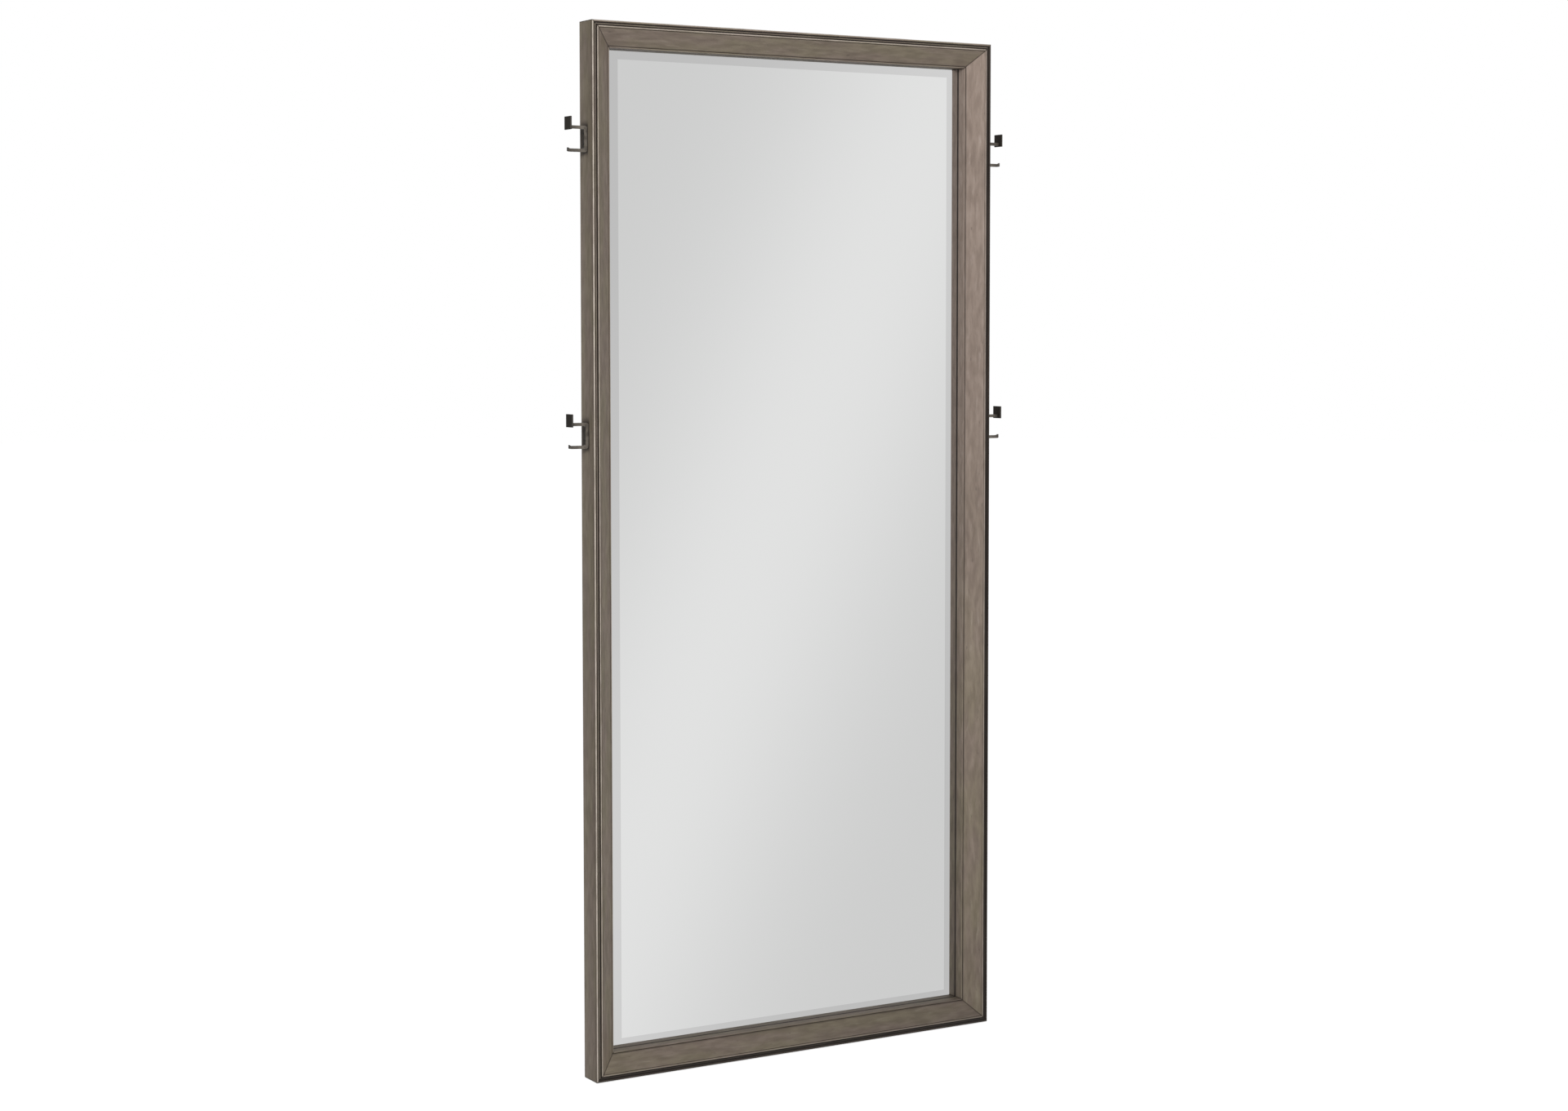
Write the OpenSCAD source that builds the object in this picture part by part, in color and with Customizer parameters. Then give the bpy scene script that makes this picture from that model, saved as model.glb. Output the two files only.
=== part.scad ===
// Tall floor mirror in a mitred wooden frame with four double side hooks.
// Millimetres. X runs to the viewer's right, Y runs from the glass towards the wall, Z is up.
// The origin is on the floor, below the middle of the whole object.

/* [Frame] */
// Width of the wooden frame
frame_w = 914.4; // [760:0.1:1060]
// Height of the wooden frame
frame_h = 2032; // [1750:1:2200]
// Depth of the wooden frame, from its front beads to its back face
frame_d = 54.5; // [50:0.5:64]
// Width of the whole frame moulding, from its outer side to the sight edge
face_w = 48.5; // [46:0.5:60]
// Thickness of the outer casing board
casing_t = 9.5; // [9:0.5:11]
// Width of the lip that covers the edge of the glass
lip_w = 6; // [4:0.5:9]

/* [Moulding profile] */
// Radius of the bead along the outer front corner
corner_bead_r = 2; // [1.5:0.1:2.2]
// Depth of the flute between the corner bead and the crest
flute_depth = 3; // [2.4:0.1:4]
// Radius of the fine bead in the flute
flute_bead_r = 1.1; // [0.6:0.1:1.2]
// Radius of the crest bead
crest_r = 1.75; // [1.2:0.05:2.1]
// Width of the flat step outside the crest bead
crest_step = 0.6; // [0.3:0.1:1.2]
// Width of the dark grooves that set the beads off
quirk_w = 1; // [0.6:0.1:1.3]
// Depth of these grooves
quirk_depth = 1.2; // [0.6:0.1:1.5]
// Depth of the sloping face where it starts beside the crest
slope_start = 1.4; // [0.8:0.1:2.4]
// Depth of the sight edge, where the sloping face ends
sight_depth = 26.4; // [20:0.1:30]
// Radius of the bead along the sight edge
sight_bead_r = 1.2; // [0.8:0.1:1.6]

/* [Mirror] */
// Thickness of the mirror glass
glass_t = 4; // [3:0.5:6]
// Width of the bevel ground along the two sides of the glass
bevel_w = 34; // [15:1:38]
// Width of the bevel ground along its top and bottom
end_bevel_w = 23; // [15:1:38]
// How far the bevel falls back at the edge of the glass
bevel_fall = 1.7; // [0.8:0.1:2.4]
// Gap between the glass and the wood all round
glass_gap = 1.5; // [1:0.1:2.5]
// Thickness of the backing panel
panel_t = 3; // [2.5:0.5:6]
// Gap between the backing panel and the wood all round
panel_gap = 1; // [0.5:0.1:2]
// Length of each block that the glass stands on
block_len = 60; // [30:5:120]
// Distance from the frame's outer side to the middle of each block
block_inset = 250; // [120:5:300]

/* [Backing clips] */
// Length of a clip, across the joint of frame and panel
clip_len = 30; // [28:1:34]
// Width of a clip
clip_w = 14; // [10:1:20]
// Thickness of a clip
clip_t = 1.2; // [0.8:0.1:2]
// How far a clip reaches over the panel
clip_reach = 10; // [6:1:13]
// Number of clips on each side
side_clips = 5; // [3:1:7]
// Number of clips at the top and at the bottom
end_clips = 2; // [2:1:3]
// Distance from the frame's corners to the first clip on a side
side_clip_inset = 240; // [180:5:255]
// Distance from the frame's corners to the first clip at the top or bottom
end_clip_inset = 240; // [180:5:300]

/* [Hooks] */
// Thickness of the square bar that the hooks are bent from
hook_bar = 6; // [5:0.5:8]
// How far a hook stands out from the frame
hook_reach = 40; // [34:1:55]
// Height of a hook between the middles of its two arms
hook_arms = 43.5; // [36:0.5:60]
// Side of the square plate at the end of the upper arm
plate_w = 25; // [18:1:34]
// Thickness of this plate
plate_t = 3.5; // [2:0.5:5]
// How far the plate hangs below the upper arm
plate_drop = 2.2; // [0.5:0.1:4]
// Inside radius of the bends in the bar
hook_bend_r = 3; // [1.5:0.5:4]
// Outside radius of the bends in the bar
hook_corner_r = 4; // [2:0.5:4.5]
// Radius, to the bar's middle, of the upturned end of the lower arm
tip_bend_r = 14; // [10:0.5:18]
// Angle through which the end of the lower arm turns up
tip_turn = 35; // [20:1:45]
// Flat on each side of the rounding of this end
tip_flat = 0.3; // [0.2:0.1:1]
// Distance from the top of the frame to the upper arm of the upper hooks
upper_hook_top = 201; // [120:1:300]
// Distance from the top of the frame to the upper arm of the lower hooks
lower_hook_top = 763; // [600:1:950]
// Distance between the two screws of a hook
hook_screw_gap = 20; // [12:1:24]

/* [Wall hangers] */
// Distance from the top of the frame to the hinge of the rings
hanger_top = 330; // [290:5:500]
// Distance from the frame's outer side to the middle of a hanger
hanger_inset = 24; // [22:1:26]
// Diameter of the ring's wire
ring_wire = 4; // [3:0.5:5]
// Inside width of a ring
ring_w = 26; // [23:1:30]
// Length of the ring's straight legs
ring_leg = 8; // [4:1:14]
// Width of the strap
strap_w = 20; // [14:1:22]
// Thickness of the strap
strap_t = 1.5; // [1:0.1:2]
// Length of the strap below the hinge
strap_len = 62; // [58:1:80]
// Running clearance between the wire and the strap's eye
eye_gap = 0.08; // [0.02:0.01:0.1]
// How far the eye is lifted so that the ring swings clear of the strap
eye_lift = 0.3; // [0.2:0.05:1]
// Distance from the hinge to the upper screw of the strap
hanger_screw_top = 35; // [33:1:38]
// Distance between the two screws of the strap
hanger_screw_gap = 17; // [12:1:18]

/* [Bumpers] */
// How far the rubber bumpers stand off the back of the frame
bumper_t = 10; // [9:0.5:14]
// Radius of the round wall bumpers
bumper_r = 12; // [9:0.5:13]
// Distance from the frame's outer side to a wall bumper's middle
bumper_inset = 22; // [22:1:29]
// Distance from the top of the frame to the wall bumpers
bumper_top = 80; // [60:5:160]
// Radius of the rounded edges of the rubber
rubber_edge_r = 2; // [1:0.5:3]
// Thickness of the rubber under the frame
base_t = 2; // [1:0.5:5]
// Length of each base bumper along the frame
base_len = 80; // [50:5:120]
// Height of a base bumper up the back of the frame
base_h = 30; // [28:1:40]
// Distance from the front of the frame to the front edge of the base rubber
base_setback = 20; // [8:1:30]
// Distance from the frame's outer side to the middle of each base bumper
base_inset = 87; // [62:1:160]
// Distance between the two screws of a base bumper
base_screw_gap = 44; // [25:1:60]
// Depth of the sunk seats for the bumper screws
seat_depth = 5; // [4:0.5:7]

/* [Fasteners] */
// Radius of the small screws, which hold the clips, the hooks and the bumpers
small_screw_r = 1.5; // [1.2:0.1:1.8]
// Length of the clip screws
clip_screw_len = 14; // [10:1:20]
// Length of the hook screws
hook_screw_len = 25; // [20:1:30]
// Length of the bumper screws
bumper_screw_len = 22; // [16:1:28]
// Radius of the hanger screws
hanger_screw_r = 1.9; // [1.5:0.1:2.4]
// Length of the hanger screws
hanger_screw_len = 22; // [16:1:26]
// Length of the legs of the v-nails in the mitres
nail_leg = 6; // [4:0.5:8]
// Thickness of the v-nails
nail_t = 0.8; // [0.5:0.1:1]
// How deep the v-nails go into the wood
nail_depth = 10; // [6:1:14]

/* [Hidden] */
$fn = 48;

// Overrun of a cutting shape past the face that it cuts, and overlap of shapes that are joined
cut = 1;
// Clearance round a screw in its hole
screw_gap = 0.05;
// Clearance between the lip and the bevel that leans on it
seat_gap = 0.1;
// Whole depth of the object, with its bumpers
total_d = frame_d + bumper_t;
// Distance from the frame's outer side to the wall of the glass rabbet
rabbet_x = face_w - lip_w;
// Distance from the frame's outer side to the edge of the glass and of the panel
glass_edge = rabbet_x + glass_gap;
panel_edge = rabbet_x + panel_gap;
// Depths, from the front of the frame, of the front of the glass and the back of the lip
glass_front = frame_d - panel_t - glass_t;
lip_bevel_w = min(bevel_w, end_bevel_w);
lip_back = glass_front + bevel_fall * (lip_bevel_w - (face_w - glass_edge)) / lip_bevel_w - seat_gap;
// Middle of the crest bead and of the bead in the flute
crest_x = casing_t + crest_step + crest_r;
flute_bead_x = (2 * corner_bead_r + casing_t + crest_step) / 2;
// Start and end of the sloping face
slope_x = crest_x + crest_r + quirk_w;
slope_end_x = face_w - 2 * sight_bead_r - quirk_w / 2;
slope_end = sight_depth - sight_bead_r;
// Distances from the outer corner, along both sides, of the v-nails in each mitre
nail_step = (rabbet_x - casing_t) / 3;
nail_places = [(casing_t - nail_t) / 2, casing_t + nail_step, casing_t + 2 * nail_step];
// Distance from the frame's outer side to the middle of the clips and to their screws
clip_mid = panel_edge + clip_reach - clip_len / 2;
clip_screw_x = clip_mid - clip_len / 4;
// Proportions of the screws, as shares of the shank's radius and of the head's radius
screw_head = 2;
screw_head_h = 1.2;
screw_sunk_head = 1.6;
screw_taper = 2;
screw_point = 0.2;
screw_crown = 0.7;
// Sizes of the screw heads
small_head_r = screw_head * small_screw_r;
small_head_h = screw_head_h * small_screw_r;
sunk_head_r = screw_sunk_head * small_screw_r;
hanger_head_r = screw_head * hanger_screw_r;
hanger_head_h = screw_head_h * hanger_screw_r;
// Radius and middle of the eye that the ring turns in
eye_r = ring_wire / 2 + eye_gap + strap_t;
eye_mid = eye_r + eye_lift;
// Height of the base bumpers' screws above the underside of the wood, inside the moulding
base_screw_z = (base_h - base_t + casing_t) / 2;
// Radius of the ring's bow, to the middle of its wire
ring_r = (ring_w + ring_wire) / 2;
// Length of the straight part of a hook's lower arm
tip_start = hook_reach - tip_bend_r * sin(tip_turn) - hook_bar / 2;

wood = [0.44, 0.41, 0.37];
silver = [0.83, 0.85, 0.84];
bronze = [0.16, 0.14, 0.13];
zinc = [0.72, 0.72, 0.70];
rubber = [0.10, 0.10, 0.10];
hardboard = [0.42, 0.30, 0.20];

// Places the frame: in it, Y counts from the front beads and Z from the underside of the wood
module in_frame() {
    translate([0, -total_d / 2, base_t]) children();
}

// Section of the outer casing: x counts inwards from the frame's side, y backwards from the front
module casing_section() {
    bead_w = 2 * corner_bead_r;
    difference() {
        union() {
            polygon([
                [0, corner_bead_r], [bead_w, corner_bead_r], [bead_w, flute_depth],
                [casing_t, flute_depth], [casing_t, frame_d], [0, frame_d]
            ]);
            translate([corner_bead_r, corner_bead_r]) circle(corner_bead_r);
            translate([flute_bead_x, flute_depth]) circle(flute_bead_r);
        }
        // Groove in the side, just behind the corner bead
        polygon([
            [-cut, bead_w], [0, bead_w], [quirk_depth / 2, bead_w + quirk_w / 2],
            [0, bead_w + quirk_w], [-cut, bead_w + quirk_w]
        ]);
    }
}

// Section of the inner moulding: crest bead, sloping face, sight bead, deep wall and glass rabbet
module moulding_section() {
    crest_out = crest_x - crest_r;
    crest_in = crest_x + crest_r;
    polygon([
        [casing_t, frame_d], [casing_t, flute_depth], [crest_out, flute_depth],
        [crest_out, crest_r], [crest_in, crest_r],
        [crest_in + quirk_w / 2, crest_r + quirk_depth], [slope_x, slope_start],
        [slope_end_x, slope_end], [slope_end_x + quirk_w / 2, sight_depth],
        [face_w, sight_depth], [face_w, lip_back], [rabbet_x, lip_back], [rabbet_x, frame_d]
    ]);
    translate([crest_x, crest_r]) circle(crest_r);
    translate([face_w - sight_bead_r, sight_depth]) circle(sight_bead_r);
}

// Length of a section with both its ends mitred
module mitred(length) {
    past = face_w + cut;
    intersection() {
        linear_extrude(length) children();
        translate([0, frame_d + cut, 0])
            rotate([90, 0, 0])
                linear_extrude(frame_d + 2 * cut)
                    polygon([[0, 0], [past, past], [past, length - past], [0, length]]);
    }
}

// Places an upright at the left of the frame
module at_left() {
    translate([-frame_w / 2, 0, 0]) children();
}

// Places a rail at the bottom of the frame
module at_bottom() {
    translate([frame_w / 2, 0, 0]) rotate([0, -90, 0]) children();
}

// Turns the bottom of the frame to its top, and its left to its right
module to_top() {
    translate([0, 0, frame_h]) mirror([0, 0, 1]) children();
}
module to_right() {
    mirror([1, 0, 0]) children();
}

// Screw with its head on +Z, seated at the origin; grow widens it into the hole that it sits in
module screw(r, length, head_r, head_h, grow = 0) {
    crown_r = head_r * screw_crown;
    rim_h = head_h / 2;
    rotate_extrude()
        polygon([
            [0, head_h + grow], [crown_r, head_h + grow], [head_r + grow, rim_h],
            [head_r + grow, 0], [r + grow, 0], [r + grow, r * screw_taper - length],
            [r * screw_point + grow, -length - grow], [0, -length - grow]
        ]);
}

// Screw with a countersunk head, flush with the origin
module sunk_screw(length, grow = 0) {
    r = small_screw_r;
    neck = sunk_head_r - r;
    rotate_extrude()
        polygon([
            [0, 0], [sunk_head_r + grow, 0], [r + grow, -neck], [r + grow, r * screw_taper - length],
            [r * screw_point + grow, -length - grow], [0, -length - grow]
        ]);
}

// V-nail at one mitre, a leg in each of the two members that meet there
module nail(place) {
    back = frame_d - nail_depth;
    translate([place, back, place]) {
        cube([nail_leg, nail_depth, nail_t]);
        cube([nail_t, nail_depth, nail_leg]);
    }
}

// V-nails of all four corners
module nails() {
    for (top = [0, 1], right = [0, 1], place = nail_places)
        mirror([right, 0, 0])
            translate([0, 0, top * frame_h])
                mirror([0, 0, top])
                    at_left() nail(place);
}

// Middles of the clips along a member, counted from the frame's corner
function clip_places(length, inset, count) =
    [for (i = [0 : count - 1]) inset + i * (length - 2 * inset) / (count - 1)];

// Repeats a piece at each clip, with +X pointing inwards and the frame's side at x = 0
module at_clips() {
    for (right = [0, 1], place = clip_places(frame_h, side_clip_inset, side_clips))
        mirror([right, 0, 0]) at_left() translate([0, frame_d, place]) children();
    for (top = [0, 1], place = clip_places(frame_w, end_clip_inset, end_clips))
        translate([0, 0, top * frame_h])
            mirror([0, 0, top]) at_bottom() translate([0, frame_d, place]) children();
}

// Places a piece against the frame's left side, x pointing away from the wood
module at_left_hook(from_top) {
    translate([-frame_w / 2, frame_d / 2, frame_h - from_top]) mirror([1, 0, 0]) children();
}

// Screws of one hook, or their holes
module hook_screw_pair(grow = 0) {
    for (side = [-1, 1])
        translate([hook_bar, 0, side * hook_screw_gap / 2 - hook_arms / 2])
            rotate([0, 90, 0]) sunk_screw(hook_screw_len, grow);
}

// All the hook screws, or their holes
module all_hook_screws(grow = 0) {
    for (right = [0, 1], from_top = [upper_hook_top, lower_hook_top])
        mirror([right, 0, 0]) at_left_hook(from_top) hook_screw_pair(grow);
}

// All the clip screws, or their holes
module all_clip_screws(grow = 0) {
    at_clips()
        translate([clip_screw_x, clip_t, 0])
            rotate([-90, 0, 0])
                screw(small_screw_r, clip_screw_len, small_head_r, small_head_h, grow);
}

// Places a piece at the left hanger's hinge, y counting out from the frame's back
module at_left_hanger() {
    translate([-frame_w / 2 + hanger_inset, frame_d, frame_h - hanger_top]) children();
}

// All the hanger screws, or their holes
module all_hanger_screws(grow = 0) {
    for (right = [0, 1], i = [0, 1])
        mirror([right, 0, 0])
            at_left_hanger()
                translate([0, strap_t, -hanger_screw_top - i * hanger_screw_gap])
                    rotate([-90, 0, 0])
                        screw(hanger_screw_r, hanger_screw_len, hanger_head_r, hanger_head_h, grow);
}

// Screw in the sunk seat of a bumper, whose outer face is at the origin
module bumper_screw(grow = 0) {
    translate([0, -seat_depth, 0])
        rotate([-90, 0, 0])
            screw(small_screw_r, bumper_screw_len, small_head_r, small_head_h, grow);
}

// Repeats a piece at each bumper screw, with the bumper's outer face at y = 0
module at_bumper_screws() {
    for (right = [0, 1])
        mirror([right, 0, 0]) {
            translate([-frame_w / 2 + bumper_inset, total_d, frame_h - bumper_top]) children();
            for (side = [-1, 1])
                translate([-frame_w / 2 + base_inset + side * base_screw_gap / 2, total_d, base_screw_z])
                    children();
        }
}

// Uprights and rails of the outer casing
module casing_left() {
    color(wood)
        in_frame()
            difference() {
                at_left() mitred(frame_h) casing_section();
                nails();
                all_hook_screws(screw_gap);
            }
}
module casing_right() {
    to_right() casing_left();
}
module rail_casing() {
    difference() {
        at_bottom() mitred(frame_w) casing_section();
        nails();
    }
}
module casing_bottom() {
    color(wood) in_frame() rail_casing();
}
module casing_top() {
    color(wood) in_frame() to_top() rail_casing();
}

// Uprights and rails of the inner moulding
module moulding_left() {
    color(wood)
        in_frame()
            difference() {
                at_left() mitred(frame_h) moulding_section();
                nails();
                all_hook_screws(screw_gap);
                all_clip_screws(screw_gap);
                all_hanger_screws(screw_gap);
                at_bumper_screws() bumper_screw(screw_gap);
            }
}
module moulding_right() {
    to_right() moulding_left();
}
module rail_moulding() {
    difference() {
        at_bottom() mitred(frame_w) moulding_section();
        nails();
        all_clip_screws(screw_gap);
        children();
    }
}
module moulding_bottom() {
    color(wood) in_frame() rail_moulding() at_bumper_screws() bumper_screw(screw_gap);
}
module moulding_top() {
    color(wood) in_frame() to_top() rail_moulding();
}

module mitre_nails() {
    color(zinc) in_frame() nails();
}

// Glass plate, its front edge ground off by a wide flat bevel on all four sides
module mirror_glass() {
    w = frame_w - 2 * glass_edge;
    h = frame_h - 2 * glass_edge;
    color(silver)
        in_frame()
            difference() {
                translate([-w / 2, glass_front, glass_edge]) cube([w, glass_t, h]);
                for (right = [0, 1])
                    mirror([right, 0, 0])
                        translate([-w / 2, glass_front, glass_edge - cut])
                            linear_extrude(h + 2 * cut) bevel_waste(bevel_w);
                for (top = [0, 1])
                    translate([0, 0, top * frame_h])
                        mirror([0, 0, top])
                            translate([w / 2 + cut, glass_front, glass_edge])
                                rotate([0, -90, 0])
                                    linear_extrude(w + 2 * cut) bevel_waste(end_bevel_w);
            }
}

// What the bevel takes off: x counts inwards from the edge, y backwards from the front of the glass
module bevel_waste(width) {
    polygon([[width, 0], [0, bevel_fall], [-cut, bevel_fall], [-cut, -cut], [width, -cut]]);
}

// Two rubber blocks between the bottom rail and the lower edge of the glass
module setting_blocks() {
    color(rubber)
        in_frame()
            for (side = [-1, 1])
                translate([side * (frame_w / 2 - block_inset) - block_len / 2, lip_back, rabbet_x])
                    cube([block_len, frame_d - panel_t - lip_back, glass_gap]);
}

module backing_panel() {
    color(hardboard)
        in_frame()
            translate([-frame_w / 2 + panel_edge, frame_d - panel_t, panel_edge])
                cube([frame_w - 2 * panel_edge, panel_t, frame_h - 2 * panel_edge]);
}

// Flat steel clips with rounded ends, across the joint between the moulding and the panel
module backing_clips() {
    straight = clip_len - clip_w;
    color(zinc)
        in_frame()
            difference() {
                at_clips()
                    translate([clip_mid, clip_t, 0])
                        rotate([90, 0, 0])
                            linear_extrude(clip_t) {
                                square([straight, clip_w], center = true);
                                for (end = [-1, 1])
                                    translate([end * straight / 2, 0]) circle(clip_w / 2);
                            }
                all_clip_screws(screw_gap);
            }
}

module backing_clip_screws() {
    color(zinc) in_frame() all_clip_screws();
}

// Side outline of a hook: x counts out from the frame, y up from the middle of the upper arm
module hook_outline() {
    half = hook_bar / 2;
    low = -hook_arms;
    difference() {
        // Back bar, upper arm and the filling of the two inner bends
        union() {
            translate([0, low - half]) square([hook_bar, hook_arms + hook_bar]);
            translate([hook_bar - cut, -half])
                square([hook_reach - plate_t - hook_bar + cut, hook_bar]);
            translate([hook_bar - cut, low]) square([hook_bend_r + cut, hook_arms]);
        }
        translate([hook_bar + hook_bend_r, low + half + hook_bend_r]) {
            for (y = [0, hook_arms - hook_bar - 2 * hook_bend_r])
                translate([0, y]) circle(hook_bend_r);
            translate([-hook_bend_r, 0])
                square([2 * hook_bend_r + cut, hook_arms - hook_bar - 2 * hook_bend_r]);
        }
        // Rounding of the two outer bends
        for (end = [0, 1])
            translate([0, end ? low - half : half])
                mirror([0, end])
                    difference() {
                        translate([-cut, -hook_corner_r]) square(hook_corner_r + cut);
                        translate([hook_corner_r, -hook_corner_r]) circle(hook_corner_r);
                    }
    }
    // Lower arm with its upturned, rounded end, drawn about the middle of the bend
    translate([tip_start, low + tip_bend_r]) {
        mirror([1, 0])
            translate([0, -tip_bend_r - half])
                square([tip_start - hook_bar + cut, hook_bar]);
        intersection() {
            difference() {
                circle(tip_bend_r + half);
                circle(tip_bend_r - half);
            }
            polygon([[0, 0], [0, -2 * tip_bend_r], 2 * tip_bend_r * [tan(tip_turn), -1]]);
        }
        rotate(tip_turn) translate([0, -tip_bend_r]) circle(half - tip_flat);
    }
}

// Double hook bent from square bar, with its plate
module hook(from_top) {
    plate_x = hook_reach - plate_t;
    color(bronze)
        in_frame()
            difference() {
                at_left_hook(from_top) {
                    rotate([90, 0, 0])
                        linear_extrude(hook_bar, center = true) hook_outline();
                    translate([plate_x, -plate_w / 2, -hook_bar / 2 - plate_drop])
                        cube([plate_t, plate_w, plate_w]);
                }
                all_hook_screws(screw_gap);
            }
}

module hook_upper_left() {
    hook(upper_hook_top);
}
module hook_upper_right() {
    to_right() hook(upper_hook_top);
}
module hook_lower_left() {
    hook(lower_hook_top);
}
module hook_lower_right() {
    to_right() hook(lower_hook_top);
}

module hook_screws() {
    color(bronze) in_frame() all_hook_screws();
}

// Steel strap screwed to the frame's back, its upper end curled into an eye for the ring
module hanger_strap() {
    color(zinc)
        in_frame()
            difference() {
                at_left_hanger()
                    difference() {
                        union() {
                            translate([0, strap_t, 0])
                                rotate([90, 0, 0])
                                    linear_extrude(strap_t) {
                                        translate([-strap_w / 2, -strap_len + strap_w / 2])
                                            square([strap_w, strap_len - strap_w / 2]);
                                        translate([0, -strap_len + strap_w / 2])
                                            circle(strap_w / 2);
                                    }
                            translate([0, eye_mid, 0])
                                rotate([0, 90, 0]) cylinder(h = strap_w, r = eye_r, center = true);
                        }
                        translate([0, eye_mid, 0])
                            rotate([0, 90, 0])
                                cylinder(h = strap_w + 2 * cut, r = ring_wire / 2 + eye_gap, center = true);
                    }
                all_hanger_screws(screw_gap);
            }
}

module hanger_strap_left() {
    hanger_strap();
}
module hanger_strap_right() {
    to_right() hanger_strap();
}

// D-shaped wire ring, hanging down from its straight bar
module hanger_ring() {
    wire_r = ring_wire / 2;
    color(zinc)
        in_frame()
            at_left_hanger()
                translate([0, eye_mid, 0]) {
                    rotate([0, 90, 0]) cylinder(h = 2 * ring_r, r = wire_r, center = true);
                    for (side = [-1, 1])
                        translate([side * ring_r, 0, 0]) {
                            sphere(wire_r);
                            mirror([0, 0, 1]) cylinder(h = ring_leg, r = wire_r);
                        }
                    translate([0, 0, -ring_leg])
                        rotate([-90, 0, 0])
                            rotate_extrude(angle = 180) translate([ring_r, 0]) circle(wire_r);
                }
}

module hanger_ring_left() {
    hanger_ring();
}
module hanger_ring_right() {
    to_right() hanger_ring();
}

module hanger_screws() {
    color(zinc) in_frame() all_hanger_screws();
}

// Sunk seat of a bumper screw, open at the bumper's outer face
module screw_seat() {
    translate([0, -seat_depth, 0])
        rotate([-90, 0, 0]) cylinder(h = seat_depth + cut, r = small_head_r + 2 * screw_gap);
}

// Round rubber bumper near the frame's top corner
module wall_bumper() {
    edge = rubber_edge_r;
    color(rubber)
        in_frame()
            difference() {
                translate([-frame_w / 2 + bumper_inset, frame_d, frame_h - bumper_top])
                    rotate([-90, 0, 0])
                        rotate_extrude() {
                            square([bumper_r, bumper_t - edge]);
                            square([bumper_r - edge, bumper_t]);
                            translate([bumper_r - edge, bumper_t - edge]) circle(edge);
                        }
                at_bumper_screws() {
                    bumper_screw(screw_gap);
                    screw_seat();
                }
            }
}

module wall_bumper_left() {
    wall_bumper();
}
module wall_bumper_right() {
    to_right() wall_bumper();
}

// Rubber bumper round the frame's lower back edge: it carries the frame and keeps it off the wall
module base_bumper() {
    edge = rubber_edge_r;
    color(rubber)
        in_frame()
            difference() {
                translate([-frame_w / 2 + base_inset - base_len / 2, 0, -base_t])
                    rotate([90, 0, 90])
                        linear_extrude(base_len) {
                            translate([base_setback, 0]) square([total_d - base_setback, base_t]);
                            translate([frame_d, 0]) square([bumper_t, base_h - edge]);
                            translate([frame_d, 0]) square([bumper_t - edge, base_h]);
                            translate([total_d - edge, base_h - edge]) circle(edge);
                        }
                at_bumper_screws() {
                    bumper_screw(screw_gap);
                    screw_seat();
                }
            }
}

module base_bumper_left() {
    base_bumper();
}
module base_bumper_right() {
    to_right() base_bumper();
}

module bumper_screws() {
    color(zinc) in_frame() at_bumper_screws() bumper_screw();
}

casing_left();
casing_right();
casing_top();
casing_bottom();
moulding_left();
moulding_right();
moulding_top();
moulding_bottom();
mitre_nails();
mirror_glass();
setting_blocks();
backing_panel();
backing_clips();
backing_clip_screws();
hook_upper_left();
hook_upper_right();
hook_lower_left();
hook_lower_right();
hook_screws();
hanger_strap_left();
hanger_strap_right();
hanger_ring_left();
hanger_ring_right();
hanger_screws();
wall_bumper_left();
wall_bumper_right();
base_bumper_left();
base_bumper_right();
bumper_screws();
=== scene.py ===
"""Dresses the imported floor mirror: stained frame, bevelled mirror, side hooks and fittings of the back."""

import logging
import math
import random
from collections.abc import Iterable, Sequence
from dataclasses import dataclass, field
from enum import Enum

import bmesh
import bpy
from bmesh.types import BMEdge, BMesh, BMFace, BMVert
from mathutils import Matrix, Vector


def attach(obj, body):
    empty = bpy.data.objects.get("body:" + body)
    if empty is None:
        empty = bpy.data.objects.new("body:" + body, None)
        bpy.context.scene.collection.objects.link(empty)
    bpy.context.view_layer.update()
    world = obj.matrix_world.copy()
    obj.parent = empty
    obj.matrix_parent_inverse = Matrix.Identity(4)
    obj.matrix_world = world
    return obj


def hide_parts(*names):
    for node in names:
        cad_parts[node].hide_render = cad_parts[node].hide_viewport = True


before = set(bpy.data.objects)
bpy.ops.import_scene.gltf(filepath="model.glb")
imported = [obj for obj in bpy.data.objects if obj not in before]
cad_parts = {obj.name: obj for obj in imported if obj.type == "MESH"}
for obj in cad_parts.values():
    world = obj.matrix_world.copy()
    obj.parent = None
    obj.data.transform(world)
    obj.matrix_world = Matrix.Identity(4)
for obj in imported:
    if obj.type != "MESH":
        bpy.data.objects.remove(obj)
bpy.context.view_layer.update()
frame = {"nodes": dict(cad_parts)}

log = logging.getLogger("floor_mirror")

MM = 0.001
# Row-frame heights and depths, in millimetres, of the wood's underside and of the front of its beads
WOOD_Z = 2.0
FRONT_Y = -32.25
BODY = "mirror"
GRAIN_MAP = "grain"
# Rows of hooks, and how far below the top of the frame the middles of their upper arms are, in millimetres
HOOK_ROWS = {"upper": 201.0, "lower": 763.0}
# Distances, in millimetres, at which points are one, and at which a face is taken for the one looked for
WELD = 1e-4
NEAR = 1e-3
# Least share of a normal along an axis that makes its face look that way
LOOKS = 0.9
BACKWARD = (0, 1, 0)
Socket = bpy.types.NodeSocket
Colour = tuple[float, float, float, float]
Triple = tuple[float, float, float]
Pair = tuple[float, float]


class Side(Enum):
    """The two sides of the mirror, as the factor that X takes there."""

    LEFT = -1
    RIGHT = 1

    @property
    def word(self) -> str:
        """Name of the side in a piece's name."""
        return self.name.lower()


class Member(Enum):
    """The four mitred members of the frame."""

    LEFT = "left"
    RIGHT = "right"
    TOP = "top"
    BOTTOM = "bottom"


# Node graphs


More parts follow.
